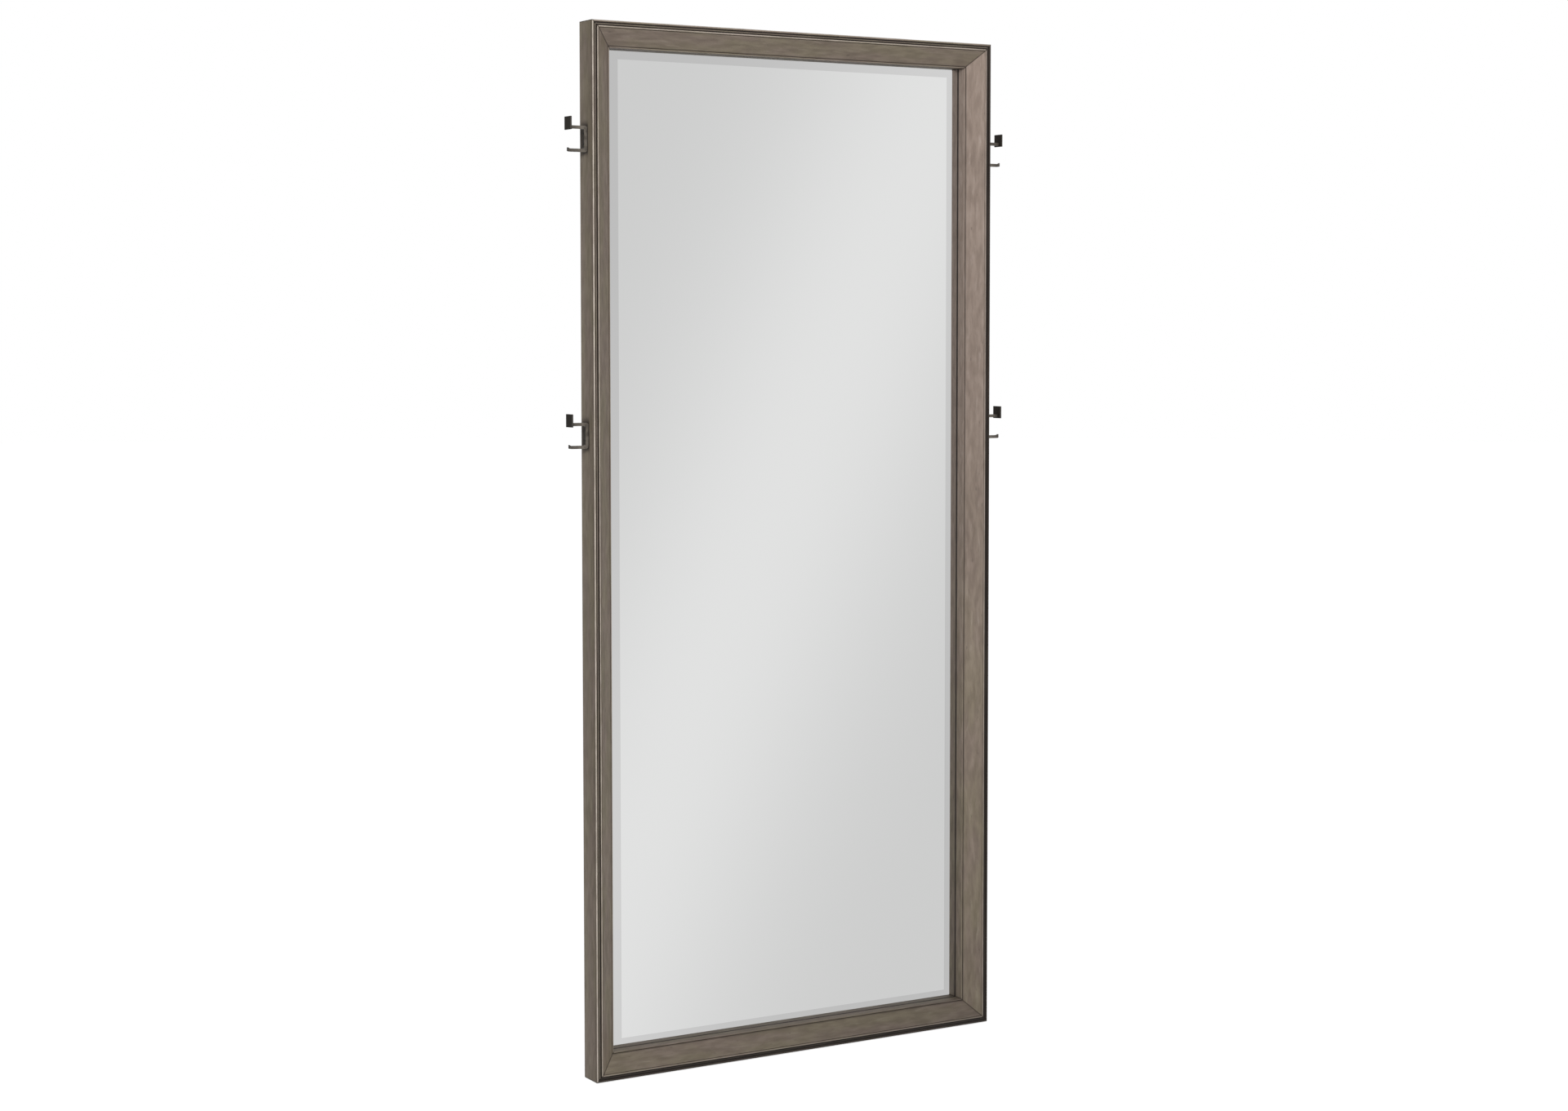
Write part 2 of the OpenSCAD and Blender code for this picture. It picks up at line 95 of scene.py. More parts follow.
@dataclass(frozen=True)
class Noise:
    """A noise: waves to a metre, octaves, share of each finer one, stretch along the axes, and its start.

    Where it has a range that is shown, its values go smoothly from that range to 0 to 1, or to a third number
    to 1.
    """

    waves: float = 1.0
    octaves: float = 3.0
    share: float = 0.55
    stretch: tuple[float, ...] = ()
    start: Triple = (0, 0, 0)
    shown: tuple[float, ...] = ()


def grain(
    along: float, across: float, octaves: float, share: float, start: Pair = (0, 0),
    shown: tuple[float, ...] = (),
) -> Noise:
    """Gives a noise that has so many waves to a metre along and across the grain of the wood."""
    return Noise(1.0, octaves, share, (along, across, 1), (*start, 0), shown)


def rgb(red: float, green: float, blue: float) -> Colour:
    """Makes an opaque linear colour."""
    return (red, green, blue, 1.0)


class Graph:
    """Adds and joins the nodes of one material or world."""

    def __init__(self, tree: bpy.types.NodeTree) -> None:
        """Empties the tree.

        Args:
            tree: Node tree to fill.
        """
        self.tree = tree
        tree.nodes.clear()

    def put(self, socket: Socket, value: object) -> None:
        """Links a socket to another one, or sets its value.

        Args:
            socket: Input socket.
            value: Output socket to link from, or a plain value.
        """
        if isinstance(value, Socket):
            self.tree.links.new(value, socket)
        else:
            socket.default_value = value

    def add(self, kind: str, sockets: dict, **settings: object) -> bpy.types.Node:
        """Makes a node.

        Args:
            kind: Node type without its ShaderNode prefix.
            sockets: Input sockets by name or index, and what each gets.
            **settings: Properties of the node.

        Returns:
            The new node.
        """
        node = self.tree.nodes.new("ShaderNode" + kind)
        for key, value in settings.items():
            setattr(node, key, value)
        for key, value in sockets.items():
            self.put(node.inputs[key], value)
        return node

    def math(self, operation: str, *values: object, clamp: bool = False) -> Socket:
        """Joins numbers by one operation.

        Args:
            operation: Name of the Math node's operation.
            *values: Its one, two or three operands.
            clamp: Keeps the result between 0 and 1.

        Returns:
            The result's socket.
        """
        node = self.add("Math", dict(enumerate(values)), operation=operation, use_clamp=clamp)
        return node.outputs[0]

    def times(self, first: object, *factors: object, clamp: bool = False) -> Socket:
        """Multiplies a number by others, one after the other.

        Args:
            first: The number.
            *factors: What it is multiplied by.
            clamp: Keeps each product between 0 and 1.

        Returns:
            The product's socket.
        """
        for factor in factors:
            first = self.math("MULTIPLY", first, factor, clamp=clamp)
        return first

    def total(self, base: object, *parts: tuple[Socket, float]) -> Socket:
        """Adds values to a base, each times its share.

        Args:
            base: The base.
            *parts: The values and their shares.

        Returns:
            The sum's socket.
        """
        for value, share in parts:
            base = self.math("MULTIPLY_ADD", value, share, base)
        return base

    def noise(self, vector: Socket, kind: Noise) -> Socket:
        """Makes a noise.

        Args:
            vector: Where the noise is read, in metres.
            kind: How it runs.

        Returns:
            The noise's socket.
        """
        if kind.stretch:
            mapping = {"Vector": vector, "Scale": kind.stretch, "Location": kind.start}
            vector = self.add("Mapping", mapping).outputs[0]
        sockets = {"Vector": vector, "Scale": kind.waves, "Detail": kind.octaves, "Roughness": kind.share}
        value = self.add("TexNoise", sockets).outputs["Fac"]
        return self.band(value, *kind.shown) if kind.shown else value

    def band(
        self, value: Socket, low: float, high: float, out_low: float = 0.0, out_high: float = 1.0
    ) -> Socket:
        """Takes a value smoothly from one range to another.

        Args:
            value: The value.
            low: Where the range starts.
            high: Where it ends.
            out_low: What the start becomes.
            out_high: What the end becomes.

        Returns:
            The new value's socket.
        """
        sockets = {0: value, 1: low, 2: high, 3: out_low, 4: out_high}
        return self.add("MapRange", sockets, interpolation_type="SMOOTHSTEP").outputs[0]

    def ramp(self, value: Socket, stops: Sequence[tuple[float, Colour]]) -> Socket:
        """Colours a value.

        Args:
            value: The value.
            stops: Places and colours.

        Returns:
            The colour's socket.
        """
        node = self.add("ValToRGB", {0: value})
        elements = node.color_ramp.elements
        while len(elements) < len(stops):
            elements.new(0.5)
        for element, (place, colour) in zip(elements, stops):
            element.position = place
            element.color = colour
        return node.outputs[0]

    def mix(self, share: object, first: object, second: object, blend: str = "MIX") -> Socket:
        """Mixes two colours.

        Args:
            share: Share of the second.
            first: First colour.
            second: Second colour.
            blend: Way of mixing.

        Returns:
            The colour's socket.
        """
        sockets = {0: share, 6: first, 7: second}
        return self.add("Mix", sockets, data_type="RGBA", blend_type=blend).outputs[2]

    def bump(self, height: Socket, depth: float, strength: float = 0.5) -> Socket:
        """Makes a relief.

        Args:
            height: Height, from 0 to 1.
            depth: Depth of the relief in metres.
            strength: Share of it that shows.

        Returns:
            The normal's socket.
        """
        return self.add("Bump", {"Height": height, "Distance": depth, "Strength": strength}).outputs[0]

    def attribute(self, name: str) -> Socket:
        """Reads a number that the mesh carries."""
        return self.add("Attribute", {}, attribute_name=name).outputs["Fac"]

    def coordinates(self) -> Socket:
        """Reads the object's own coordinates, in metres."""
        return self.add("TexCoord", {}).outputs["Object"]


# Finishes


@dataclass(frozen=True)
class Finish:
    """A finish: a name that no slot of the frame has, a slot name that is not used, and a material made once.
    """

    name: str
    slot: str

    def shade(self, graph: Graph) -> dict:
        """Fills the graph and gives the sockets of the surface.

        Args:
            graph: Graph of the material.

        Returns:
            Inputs of the surface by name.
        """
        raise NotImplementedError

    def material(self) -> bpy.types.Material:
        """Gives the finish's material.

        Returns:
            The material, made at the first call.
        """
        made = bpy.data.materials.get(self.name)
        if made is None:
            made = bpy.data.materials.new(self.name)
            made.use_nodes = True
            graph = Graph(made.node_tree)
            surface = graph.add("BsdfPrincipled", self.shade(graph))
            graph.add("OutputMaterial", {"Surface": surface.outputs[0]})
        return made


@dataclass(frozen=True)
class StainedWood(Finish):
    """Grey-brown stain on open-pored wood, dark glaze in the grooves, beads rubbed light, with painted
    highlight, light and shade.
    """

    name: str = "stained_wood"
    slot: str = "frame_wood"
    dark: Colour = rgb(0.146, 0.113, 0.084)
    middle: Colour = rgb(0.196, 0.155, 0.117)
    light: Colour = rgb(0.248, 0.200, 0.154)
    wisp: Colour = rgb(0.300, 0.252, 0.205)
    rubbed: Colour = rgb(0.64, 0.57, 0.50)
    darkest: Colour = rgb(0.016, 0.012, 0.010)
    pinkish: Colour = rgb(1.0, 0.990, 1.040)
    olive: Colour = rgb(0.970, 1.015, 0.940)
    # The rosy tint goes where the painted light brightens the wood most
    rosy: Colour = rgb(1.0, 0.985, 1.080)
    rosy_from: Pair = (1.05, 1.30)
    warp: Noise = grain(5, 18, 3.0, 0.55)
    warp_by: float = 0.018
    figure: Noise = grain(3.2, 70, 4.0, 0.62)
    streaks: Noise = grain(9, 420, 3.0, 0.6, (3.1, 0.7))
    fibres: Noise = grain(42, 2300, 2.0, 0.6, (1.3, 5.2))
    pores: Noise = grain(75, 2900, 1.0, 0.5, (7.7, 2.9), (0.62, 0.74))
    clouds: Noise = grain(5, 22, 3.0, 0.5, (0.4, 8.1))
    flecks: Noise = grain(60, 160, 1.0, 0.4, (4.2, 1.9), (0.70, 0.80))
    wisps: Noise = grain(20, 130, 4.0, 0.6, (5.5, 3.3))
    mottle: Noise = grain(26, 105, 2.0, 0.5, (2.6, 4.4), (0.28, 0.72))
    hue: Noise = grain(7, 28, 2.0, 0.5, (9.1, 2.2), (0.34, 0.66))
    wear_and_sheen_noise: Noise = grain(26, 90, 3.0, 0.6, (2.0, 6.0), (0.30, 0.66, 0.5))
    # Ranges of the wisps that show as such and of the clouds that thin the glaze
    wisps_shown: Pair = (0.56, 0.76)
    clouds_shown: Triple = (0.2, 0.6, 0.86)
    # Shares of figure, streaks, fibres, wisps, clouds and mottle in the tone, what comes off their sum, and
    # the tones of the three browns
    tone_shares: tuple[float, ...] = (0.26, 0.16, 0.14, 0.30, 0.40, 0.30)
    tone_less: float = 0.28
    tones: Triple = (0.22, 0.5, 0.78)
    # How strongly wisps, pores and flecks show
    mark_shares: Triple = (0.50, 0.40, 0.28)
    # Relief: shares of fibres, streaks and pores, its depth in metres, and how much of it shows
    relief_shares: Triple = (0.5, 0.5, 0.8)
    relief: float = 0.00022
    relief_shown: float = 0.6
    # Where the flanks and the wood's top are, in metres, and the painted shade on the flanks round the hooks:
    # how dark it is left and right, how deep below the flank it ends, and its edges behind, before, below and
    # above a hook
    flank: float = 0.4572
    top: float = 2.034
    painted_shade: Noise = Noise(130.0, 4.0, 0.6, shown=(0.30, 0.55, 0.88))
    painted_shade_sides: tuple[float, ...] = (-0.1, 0.1, 0.98, 0.30)
    painted_shade_skin: Pair = (0.0008, 0.0002)
    painted_shade_back: Pair = (-0.0150, -0.0085)
    painted_shade_front: tuple[float, ...] = (0.0040, 0.0240, 1.0, 0.75)
    painted_shade_foot: Pair = (-0.0580, -0.0430)
    painted_shade_head: Pair = (-0.0010, 0.0180)

    def hook_painted_shade(self, graph: Graph) -> Socket:
        """Finds the painted shade on the flanks behind and round the hooks, where the hooks shade the wood.

        Args:
            graph: Graph of the material.

        Returns:
            How dark the wood is there, from 0 to 1.
        """
        place = graph.coordinates()
        x, y, z = graph.add("SeparateXYZ", {0: place}).outputs
        aside = graph.band(graph.math("ABSOLUTE", x), *(self.flank - depth for depth in self.painted_shade_skin))
        side = graph.band(x, *self.painted_shade_sides)
        behind = graph.band(y, *self.painted_shade_back)
        ahead = graph.band(y, *self.painted_shade_front)
        rows = []
        for from_top in HOOK_ROWS.values():
            middle = self.top - from_top * MM
            foot = graph.band(z, *(middle + height for height in self.painted_shade_foot))
            head = graph.band(z, *(middle + height for height in self.painted_shade_head), 1.0, 0.0)
            rows.append(graph.times(foot, head))
        painted_light_part = graph.noise(place, self.painted_shade)
        return graph.times(graph.math("ADD", *rows), aside, side, behind, ahead, painted_light_part)

    def shade(self, graph: Graph) -> dict:
        """Fills the graph and gives the sockets of the surface.

        Args:
            graph: Graph of the material.

        Returns:
            Inputs of the surface by name.
        """
        # First coordinate along the grain, second across it, in metres
        place = graph.add("UVMap", {}, uv_map=GRAIN_MAP).outputs[0]
        sideways = graph.add("CombineXYZ", {1: graph.times(graph.noise(place, self.warp), self.warp_by)})
        bent = graph.add("VectorMath", {0: place, 1: sideways.outputs[0]}, operation="ADD").outputs[0]
        warped = (self.figure, self.streaks, self.fibres, self.wisps, self.mottle, self.pores)
        figure, streaks, fibres, wisps, mottle, pores = (graph.noise(bent, kind) for kind in warped)
        straight = (self.clouds, self.flecks, self.hue, self.wear_and_sheen_noise)
        clouds, flecks, hue, wear_and_sheen_noise = (graph.noise(place, kind) for kind in straight)

        first, *shares = self.tone_shares
        tone = graph.total(graph.times(figure, first), *zip((streaks, fibres, wisps, clouds, mottle), shares))
        tone = graph.math("SUBTRACT", tone, self.tone_less)
        wood = graph.ramp(tone, list(zip(self.tones, (self.dark, self.middle, self.light))))
        marks = ((graph.band(wisps, *self.wisps_shown), self.wisp), (pores, self.dark), (flecks, self.darkest))
        for (pattern, colour), share in zip(marks, self.mark_shares):
            wood = graph.mix(graph.times(pattern, share), wood, colour)
        # Painted light: the pale attribute draws each member lighter or darker from end to end, as the lamp
        # falls on it
        painted_light = graph.attribute("pale")
        tint = graph.mix(hue, self.pinkish, self.olive)
        tint = graph.mix(graph.band(painted_light, *self.rosy_from), tint, self.rosy)
        wood = graph.mix(1.0, wood, tint, "MULTIPLY")
        wood = graph.add("VectorMath", {0: wood, "Scale": painted_light}, operation="SCALE").outputs[0]

        rub = graph.times(graph.attribute("rub"), wear_and_sheen_noise, clamp=True)
        # The glaze also carries painted shade: on the right and bottom outer beads, by the glass and behind
        # the hooks
        glaze_and_shade = graph.math("MAXIMUM", graph.attribute("glaze_and_shade"), self.hook_painted_shade(graph))
        glaze_and_shade = graph.times(glaze_and_shade, graph.band(clouds, *self.clouds_shown), clamp=True)
        colour = graph.mix(glaze_and_shade, graph.mix(rub, wood, self.rubbed), self.darkest)

        fibre_share, streak_share, pore_share = self.relief_shares
        height = graph.total(graph.times(fibres, fibre_share), (streaks, streak_share))
        height = graph.math("SUBTRACT", height, graph.times(pores, pore_share))
        rough = graph.total(0.40, (streaks, 0.22), (rub, -0.12))
        return {
            "Base Color": colour,
            "Roughness": graph.math("MULTIPLY_ADD", glaze_and_shade, 0.2, rough, clamp=True),
            "IOR": 1.48,
            "Normal": graph.bump(height, self.relief, self.relief_shown),
        }


@dataclass(frozen=True)
class Silvering(Finish):
    """Silvered glass: clear and nearly smooth, with the faintest trace of wiping."""

    name: str = "silvered_glass"
    slot: str = "mirror"
    silver: Colour = rgb(0.880, 0.884, 0.880)
    wiped: Colour = rgb(0.872, 0.876, 0.872)
    # The bevel's silver is drawn darker than the flat's: a painted darker reflection
    sloped: Colour = rgb(0.731, 0.731, 0.729)
    ground: Colour = rgb(0.36, 0.47, 0.42)
    wiping: Noise = Noise(octaves=2.0, stretch=(1.6, 1.0, 0.7))

    def shade(self, graph: Graph) -> dict:
        """Fills the graph and gives the sockets of the surface.

        Args:
            graph: Graph of the material.

        Returns:
            Inputs of the surface by name.
        """
        edge = graph.attribute("ground")
        shine = graph.mix(graph.noise(graph.coordinates(), self.wiping), self.wiped, self.silver)
        # Painted reflection: the bevel is drawn a tone darker than the flat
        shine = graph.mix(graph.attribute("sloped"), shine, self.sloped)
        return {
            "Base Color": graph.mix(edge, shine, self.ground),
            "Metallic": 1.0,
            "Roughness": graph.times(edge, 0.35),
        }


@dataclass(frozen=True)
class DarkBronze(Finish):
    """Dark bronze on forged steel, with painted light: lighter on faces that look forward, dark on faces that
    look aside.
    """

    name: str = "bronzed_steel"
    slot: str = "dark_bronze"
    # The dark colour goes on faces that look aside and the light one on the others: painted shade and painted
    # sheen
    deep: Colour = rgb(0.045, 0.040, 0.034)
    painted_light_part: Colour = rgb(0.250, 0.222, 0.190)
    hammered: Noise = Noise(260.0, 2.0, 0.5)
    blotches: Noise = Noise(95.0, 3.0, 0.6)
    grit: Noise = Noise(1900.0, 2.0, 0.6)
    # Range of the blotches that thin the painted sheen
    blotches_shown: Triple = (0.28, 0.62, 0.45)
    # Distances from the mirror's middle, in metres, between which the painted sheen fades, from 1 to a share
    less_rubbed: tuple[float, ...] = (0.466, 0.494, 1.0, 0.45)
    # Share of the grit in the relief, and its depth in metres
    grit_share: float = 0.3
    relief: float = 0.00025

    def shade(self, graph: Graph) -> dict:
        """Fills the graph and gives the sockets of the surface.

        Args:
            graph: Graph of the material.

        Returns:
            Inputs of the surface by name.
        """
        place = graph.coordinates()
        hammered, blotches, grit = (graph.noise(place, k) for k in (self.hammered, self.blotches, self.grit))
        # Painted sheen: light on faces that look forward, broken by blotches and fading towards the hooks'
        # outer ends
        rub = graph.times(graph.attribute("rub"), graph.band(blotches, *self.blotches_shown), clamp=True)
        aside = graph.math("ABSOLUTE", graph.add("SeparateXYZ", {0: place}).outputs[0])
        rub = graph.times(rub, graph.band(aside, *self.less_rubbed))
        return {
            "Base Color": graph.mix(rub, self.deep, self.painted_light_part),
            "Metallic": 0.55,
            "Roughness": graph.total(0.36, (blotches, 0.22), (grit, 0.08)),
            "Normal": graph.bump(graph.total(hammered, (grit, self.grit_share)), self.relief),
        }


@dataclass(frozen=True)
class ZincSteel(Finish):
    """Bright zinc on steel, with the cloudy crystals and fine scratches of plated fittings."""

    name: str = "zinc_plating"
    slot: str = "zinc_steel"
    pale: Colour = rgb(0.70, 0.70, 0.68)
    dull: Colour = rgb(0.50, 0.51, 0.51)
    clouds: Noise = Noise(160.0, 3.0, 0.6)
    scratches: Noise = Noise(1.0, 2.0, 0.6, (900, 900, 60))
    grit: Noise = Noise(2400.0, 2.0, 0.5)
    clouds_shown: Pair = (0.3, 0.7)
    # Relief: shares of grit and scratches, and its depth in metres
    relief_shares: Pair = (0.4, 0.6)
    relief: float = 0.00006

    def shade(self, graph: Graph) -> dict:
        """Fills the graph and gives the sockets of the surface.

        Args:
            graph: Graph of the material.

        Returns:
            Inputs of the surface by name.
        """
        place = graph.coordinates()
        clouds, scratches, grit = (graph.noise(place, k) for k in (self.clouds, self.scratches, self.grit))
        grit_share, scratch_share = self.relief_shares
        height = graph.total(graph.times(grit, grit_share), (scratches, scratch_share))
        return {
            "Base Color": graph.mix(graph.band(clouds, *self.clouds_shown), self.dull, self.pale),
            "Metallic": 0.92,
            "Roughness": graph.total(0.22, (clouds, 0.16), (scratches, 0.14)),
            "Normal": graph.bump(height, self.relief),
        }


@dataclass(frozen=True)
class Rubber(Finish):
    """Matt black moulded rubber with a dusty bloom."""

    name: str = "moulded_rubber"
    slot: str = "black_rubber"
    black: Colour = rgb(0.013, 0.013, 0.013)
    bloom: Colour = rgb(0.040, 0.039, 0.037)
    dust: Noise = Noise(70.0, 4.0, 0.6)
    skin: Noise = Noise(1500.0, 2.0, 0.5)
    dust_shown: Pair = (0.35, 0.75)
    # Depth of the relief in metres
    relief: float = 0.00012

    def shade(self, graph: Graph) -> dict:
        """Fills the graph and gives the sockets of the surface.

        Args:
            graph: Graph of the material.

        Returns:
            Inputs of the surface by name.
        """
        place = graph.coordinates()
        dust = graph.noise(place, self.dust)
        return {
            "Base Color": graph.mix(graph.band(dust, *self.dust_shown), self.black, self.bloom),
            "Roughness": graph.total(0.58, (dust, 0.25)),
            "IOR": 1.5,
            "Normal": graph.bump(graph.noise(place, self.skin), self.relief),
        }


@dataclass(frozen=True)
class Hardboard(Finish):
    """Brown pressed fibre: flecked, with the fine print of the screen it was pressed on."""

    name: str = "hardboard"
    slot: str = "backing_board"
    dark: Colour = rgb(0.165, 0.098, 0.054)
    light: Colour = rgb(0.300, 0.190, 0.110)
    fleck: Colour = rgb(0.055, 0.030, 0.016)
    clouds: Noise = Noise(9.0, 4.0, 0.6)
    fibres: Noise = Noise(1.0, 4.0, 0.7, (340, 340, 900))
    flecks: Noise = Noise(420.0, 2.0, 0.5, shown=(0.60, 0.72))
    fleck_share: float = 0.5
    # Shares of fibres and clouds in the tone, and the range of it that shows
    tone_shares: Pair = (0.55, 0.45)
    tone_shown: Pair = (0.32, 0.68)
    # Relief: pitch of the screen, shares of fibres and weave, depth in metres, and how much of it shows
    screen_pitch: float = 0.0016
    relief_shares: Pair = (0.6, 0.5)
    relief: float = 0.00018
    relief_shown: float = 0.6

    def shade(self, graph: Graph) -> dict:
        """Fills the graph and gives the sockets of the surface.

        Args:
            graph: Graph of the material.

        Returns:
            Inputs of the surface by name.
        """
        place = graph.coordinates()
        turns = 2 * math.pi / self.screen_pitch
        x, _, z = graph.add("SeparateXYZ", {0: place}).outputs
        weave = graph.times(*(graph.math("SINE", graph.times(axis, turns)) for axis in (x, z)))
        clouds, fibres, flecks = (graph.noise(place, k) for k in (self.clouds, self.fibres, self.flecks))
        tone, height = (
            graph.total(graph.times(fibres, first), (other, second))
            for other, (first, second) in ((clouds, self.tone_shares), (weave, self.relief_shares))
        )
        colour = graph.mix(graph.band(tone, *self.tone_shown), self.dark, self.light)
        return {
            "Base Color": graph.mix(graph.times(flecks, self.fleck_share), colour, self.fleck),
            "Roughness": graph.total(0.60, (fibres, 0.25)),
            "IOR": 1.45,
            "Normal": graph.bump(height, self.relief, self.relief_shown),
        }


# Mesh workshop


@dataclass(frozen=True)
class Piece:
    """What the object's table says of one new piece."""

    name: str
    nodes: tuple[str, ...]
    finish: Finish
    body: str = BODY


def only(kind: type, geometry: Iterable) -> list:
    """Picks the corners, the edges or the faces out of an operator's result."""
    return [item for item in geometry if isinstance(item, kind)]


def region(items: Iterable[BMFace | BMEdge]) -> list:
    """Gathers faces or edges with all their edges and corners, as the operators want them.

    Args:
        items: The faces or the edges.

    Returns:
        The items, their edges and their corners.
    """
    items = list(items)
    edges = dict.fromkeys(edge for face in only(BMFace, items) for edge in face.edges)
    corners = dict.fromkeys(vertex for item in items for vertex in item.verts)
    return [*items, *edges, *corners]


def push(bm: BMesh, faces: Iterable[BMFace], by: Sequence[float]) -> list:
    """Extrudes faces and moves the new ones.

    Args:
        bm: The mesh.
        faces: Faces to extrude.
        by: How far the new faces move.

    Returns:
        The new faces, edges and corners at the end.
    """
    made = bmesh.ops.extrude_face_region(bm, geom=region(faces))["geom"]
    bmesh.ops.translate(bm, verts=only(BMVert, made), vec=by)
    return made


def turn(
    bm: BMesh, geometry: Sequence, centre: Sequence[float], axis: Sequence[float], degrees: float, steps: int,
    merge: bool = False,
) -> list:
    """Sweeps faces or edges round an axis.

    Args:
        bm: The mesh.
        geometry: What is swept, with its edges and corners.
        centre: Point on the axis.
        axis: Direction of the axis.
        degrees: Angle of the sweep.
        steps: Number of steps.
        merge: Joins the end of a whole turn to its start.

    Returns:
        What stands at the sweep's end.
    """
    return bmesh.ops.spin(
        bm, geom=geometry, cent=centre, axis=axis, dvec=(0, 0, 0), angle=math.radians(degrees), steps=steps,
        use_merge=merge, use_normal_flip=False, use_duplicate=False,
    )["geom_last"]


def slab(bm: BMesh, outline: Sequence[Sequence[float]], by: Sequence[float]) -> None:
    """Makes a flat outline solid.

    Args:
        bm: The mesh.
        outline: Points of the outline.
        by: Thickness, as a vector.
    """
    face = bm.faces.new([bm.verts.new(point) for point in outline])
    push(bm, [face], by)


def block(middle: Sequence[float], size: Sequence[float]) -> BMesh:
    """Makes a box.

    Args:
        middle: Its middle.
        size: Its size on each axis.

    Returns:
        The box.
    """
    bm = bmesh.new()
    bmesh.ops.create_cube(bm, size=1, matrix=Matrix.Translation(middle) @ Matrix.Diagonal((*size, 1)))
    return bm


def arc(centre: Sequence[float], radius: float, start: float, end: float, steps: int) -> list[Pair]:
    """Gives points of an arc, both ends among them.

    Args:
        centre: Middle of the arc.
        radius: Its radius.
        start: First angle in degrees.
        end: Last angle in degrees.
        steps: Number of steps.

    Returns:
        The points.
    """
    angles = (math.radians(start + (end - start) * i / steps) for i in range(steps + 1))
    return [(centre[0] + radius * math.cos(a), centre[1] + radius * math.sin(a)) for a in angles]


def round_off(bm: BMesh, geometry: Sequence, width: float, segments: int, corners: bool = False) -> None:
    """Rounds edges, or corners of a flat outline.

    Args:
        bm: The mesh.
        geometry: The edges or the corners.
        width: Width of the rounding.
        segments: Steps of the rounding.
        corners: Says that these are corners.
    """
    bmesh.ops.bevel(
        bm, geom=geometry, offset=width, segments=segments, affect="VERTICES" if corners else "EDGES",
        profile=0.5, material=-1, offset_type="OFFSET", clamp_overlap=not corners,
    )


def soften(bm: BMesh, width: float, segments: int = 2, sharper: float = 40.0) -> None:
    """Rounds the sharp edges of a mesh.

    Args:
        bm: The mesh.
        width: Width of the rounding.
        segments: Steps of the rounding.
        sharper: Least angle, in degrees, of an edge that is rounded.
    """
    bm.normal_update()
    limit = math.radians(sharper)
    edges = [edge for edge in bm.edges if edge.is_manifold and edge.calc_face_angle() > limit]
    round_off(bm, edges, width, segments)
    bmesh.ops.dissolve_degenerate(bm, dist=WELD, edges=bm.edges[:])


def cut(
    bm: BMesh, point: Sequence[float], normal: Sequence[float], faces: Iterable[BMFace] | None = None,
    clear: bool = False,
) -> list:
    """Cuts a mesh along a plane.

    Args:
        bm: The mesh.
        point: Point on the plane.
        normal: Direction that the plane faces.
        faces: The only faces that are cut, where not all of them are.
        clear: Takes away what lies in front of the plane.

    Returns:
        The edges and corners of the cut.
    """
    geometry = region(bm.faces if faces is None else faces)
    return bmesh.ops.bisect_plane(
        bm, geom=geometry, dist=WELD / 10, plane_co=point, plane_no=normal, clear_outer=clear
    )["geom_cut"]


def lathe(bm: BMesh, outline: Sequence[Pair], steps: int) -> None:
    """Turns an outline of radius and height into a closed round body about Z.

    Args:
        bm: The mesh.
        outline: Radius and height of each point, from the axis to the axis.
        steps: Steps of the whole turn.
    """
    points = [bm.verts.new((radius, 0, height)) for radius, height in outline]
    edges = [bm.edges.new(pair) for pair in zip(points, points[1:])]
    turn(bm, [*points, *edges], (0, 0, 0), (0, 0, 1), 360, steps, merge=True)
    bmesh.ops.remove_doubles(bm, verts=bm.verts[:], dist=WELD)


def face_outward(bm: BMesh) -> None:
    """Turns the normals of one closed body outward.

    Args:
        bm: The body's mesh.
    """
    bmesh.ops.recalc_face_normals(bm, faces=bm.faces[:])
    if bm.calc_volume(signed=True) < 0:
        bmesh.ops.reverse_faces(bm, faces=bm.faces[:])
    bm.normal_update()


def new_mesh(name: str, bm: BMesh) -> bpy.types.Mesh:
    """Turns a worked mesh into a plain one, and frees the worked one.

    Args:
        name: Name of the plain mesh.
        bm: The worked mesh.

    Returns:
        The plain mesh.
    """
    mesh = bpy.data.meshes.new(name)
    bm.to_mesh(mesh)
    bm.free()
    return mesh


def new_object(name: str, data: bpy.types.ID) -> bpy.types.Object:
    """Adds an object to the scene.

    Args:
        name: Name of the object.
        data: Its mesh, lamp or camera.

    Returns:
        The object, at the origin.
    """
    made = bpy.data.objects.new(name, data)
    bpy.context.scene.collection.objects.link(made)
    return made


def join(bm: BMesh, part: BMesh, place: Matrix | None = None) -> None:
    """Adds a closed body to a mesh, and frees the body.

    Args:
        bm: Mesh that grows.
        part: Mesh that is added.
        place: Where it goes, if it isn't there already.
    """
    if place is not None:
        part.transform(place)
    face_outward(part)
    spare = new_mesh("part", part)
    bm.from_mesh(spare)
    bpy.data.meshes.remove(spare)


def facing(point: Sequence[float], towards: Sequence[float] = BACKWARD) -> Matrix:
    """Gives the place of a round part that was made about Z.

    Args:
        point: Where its origin goes.
        towards: Where its +Z turns.

    Returns:
        The place.
    """
    lean = Vector((0, 0, 1)).rotation_difference(Vector(towards)).to_matrix().to_4x4()
    return Matrix.Translation(point) @ lean


def carve(bm: BMesh, cutter: BMesh) -> None:
    """Cuts one closed mesh out of another, and frees the cutter.

    Args:
        bm: Mesh that is cut.
        cutter: Mesh that is taken away.
    """
    pair = []
    for name, source in (("kept", bm.copy()), ("cutter", cutter)):
        source.normal_update()
        pair.append(new_object(name, new_mesh(name, source)))
    kept, tool = pair
    step = kept.modifiers.new("cut", "BOOLEAN")
    step.operation = "DIFFERENCE"
    step.solver = "EXACT"
    step.object = tool
    result = bpy.data.meshes.new_from_object(kept.evaluated_get(bpy.context.evaluated_depsgraph_get()))
    bm.clear()
    bm.from_mesh(result)
    spare = [result, *(item.data for item in pair)]
    for item in pair:
        bpy.data.objects.remove(item)
    for mesh in spare:
        bpy.data.meshes.remove(mesh)


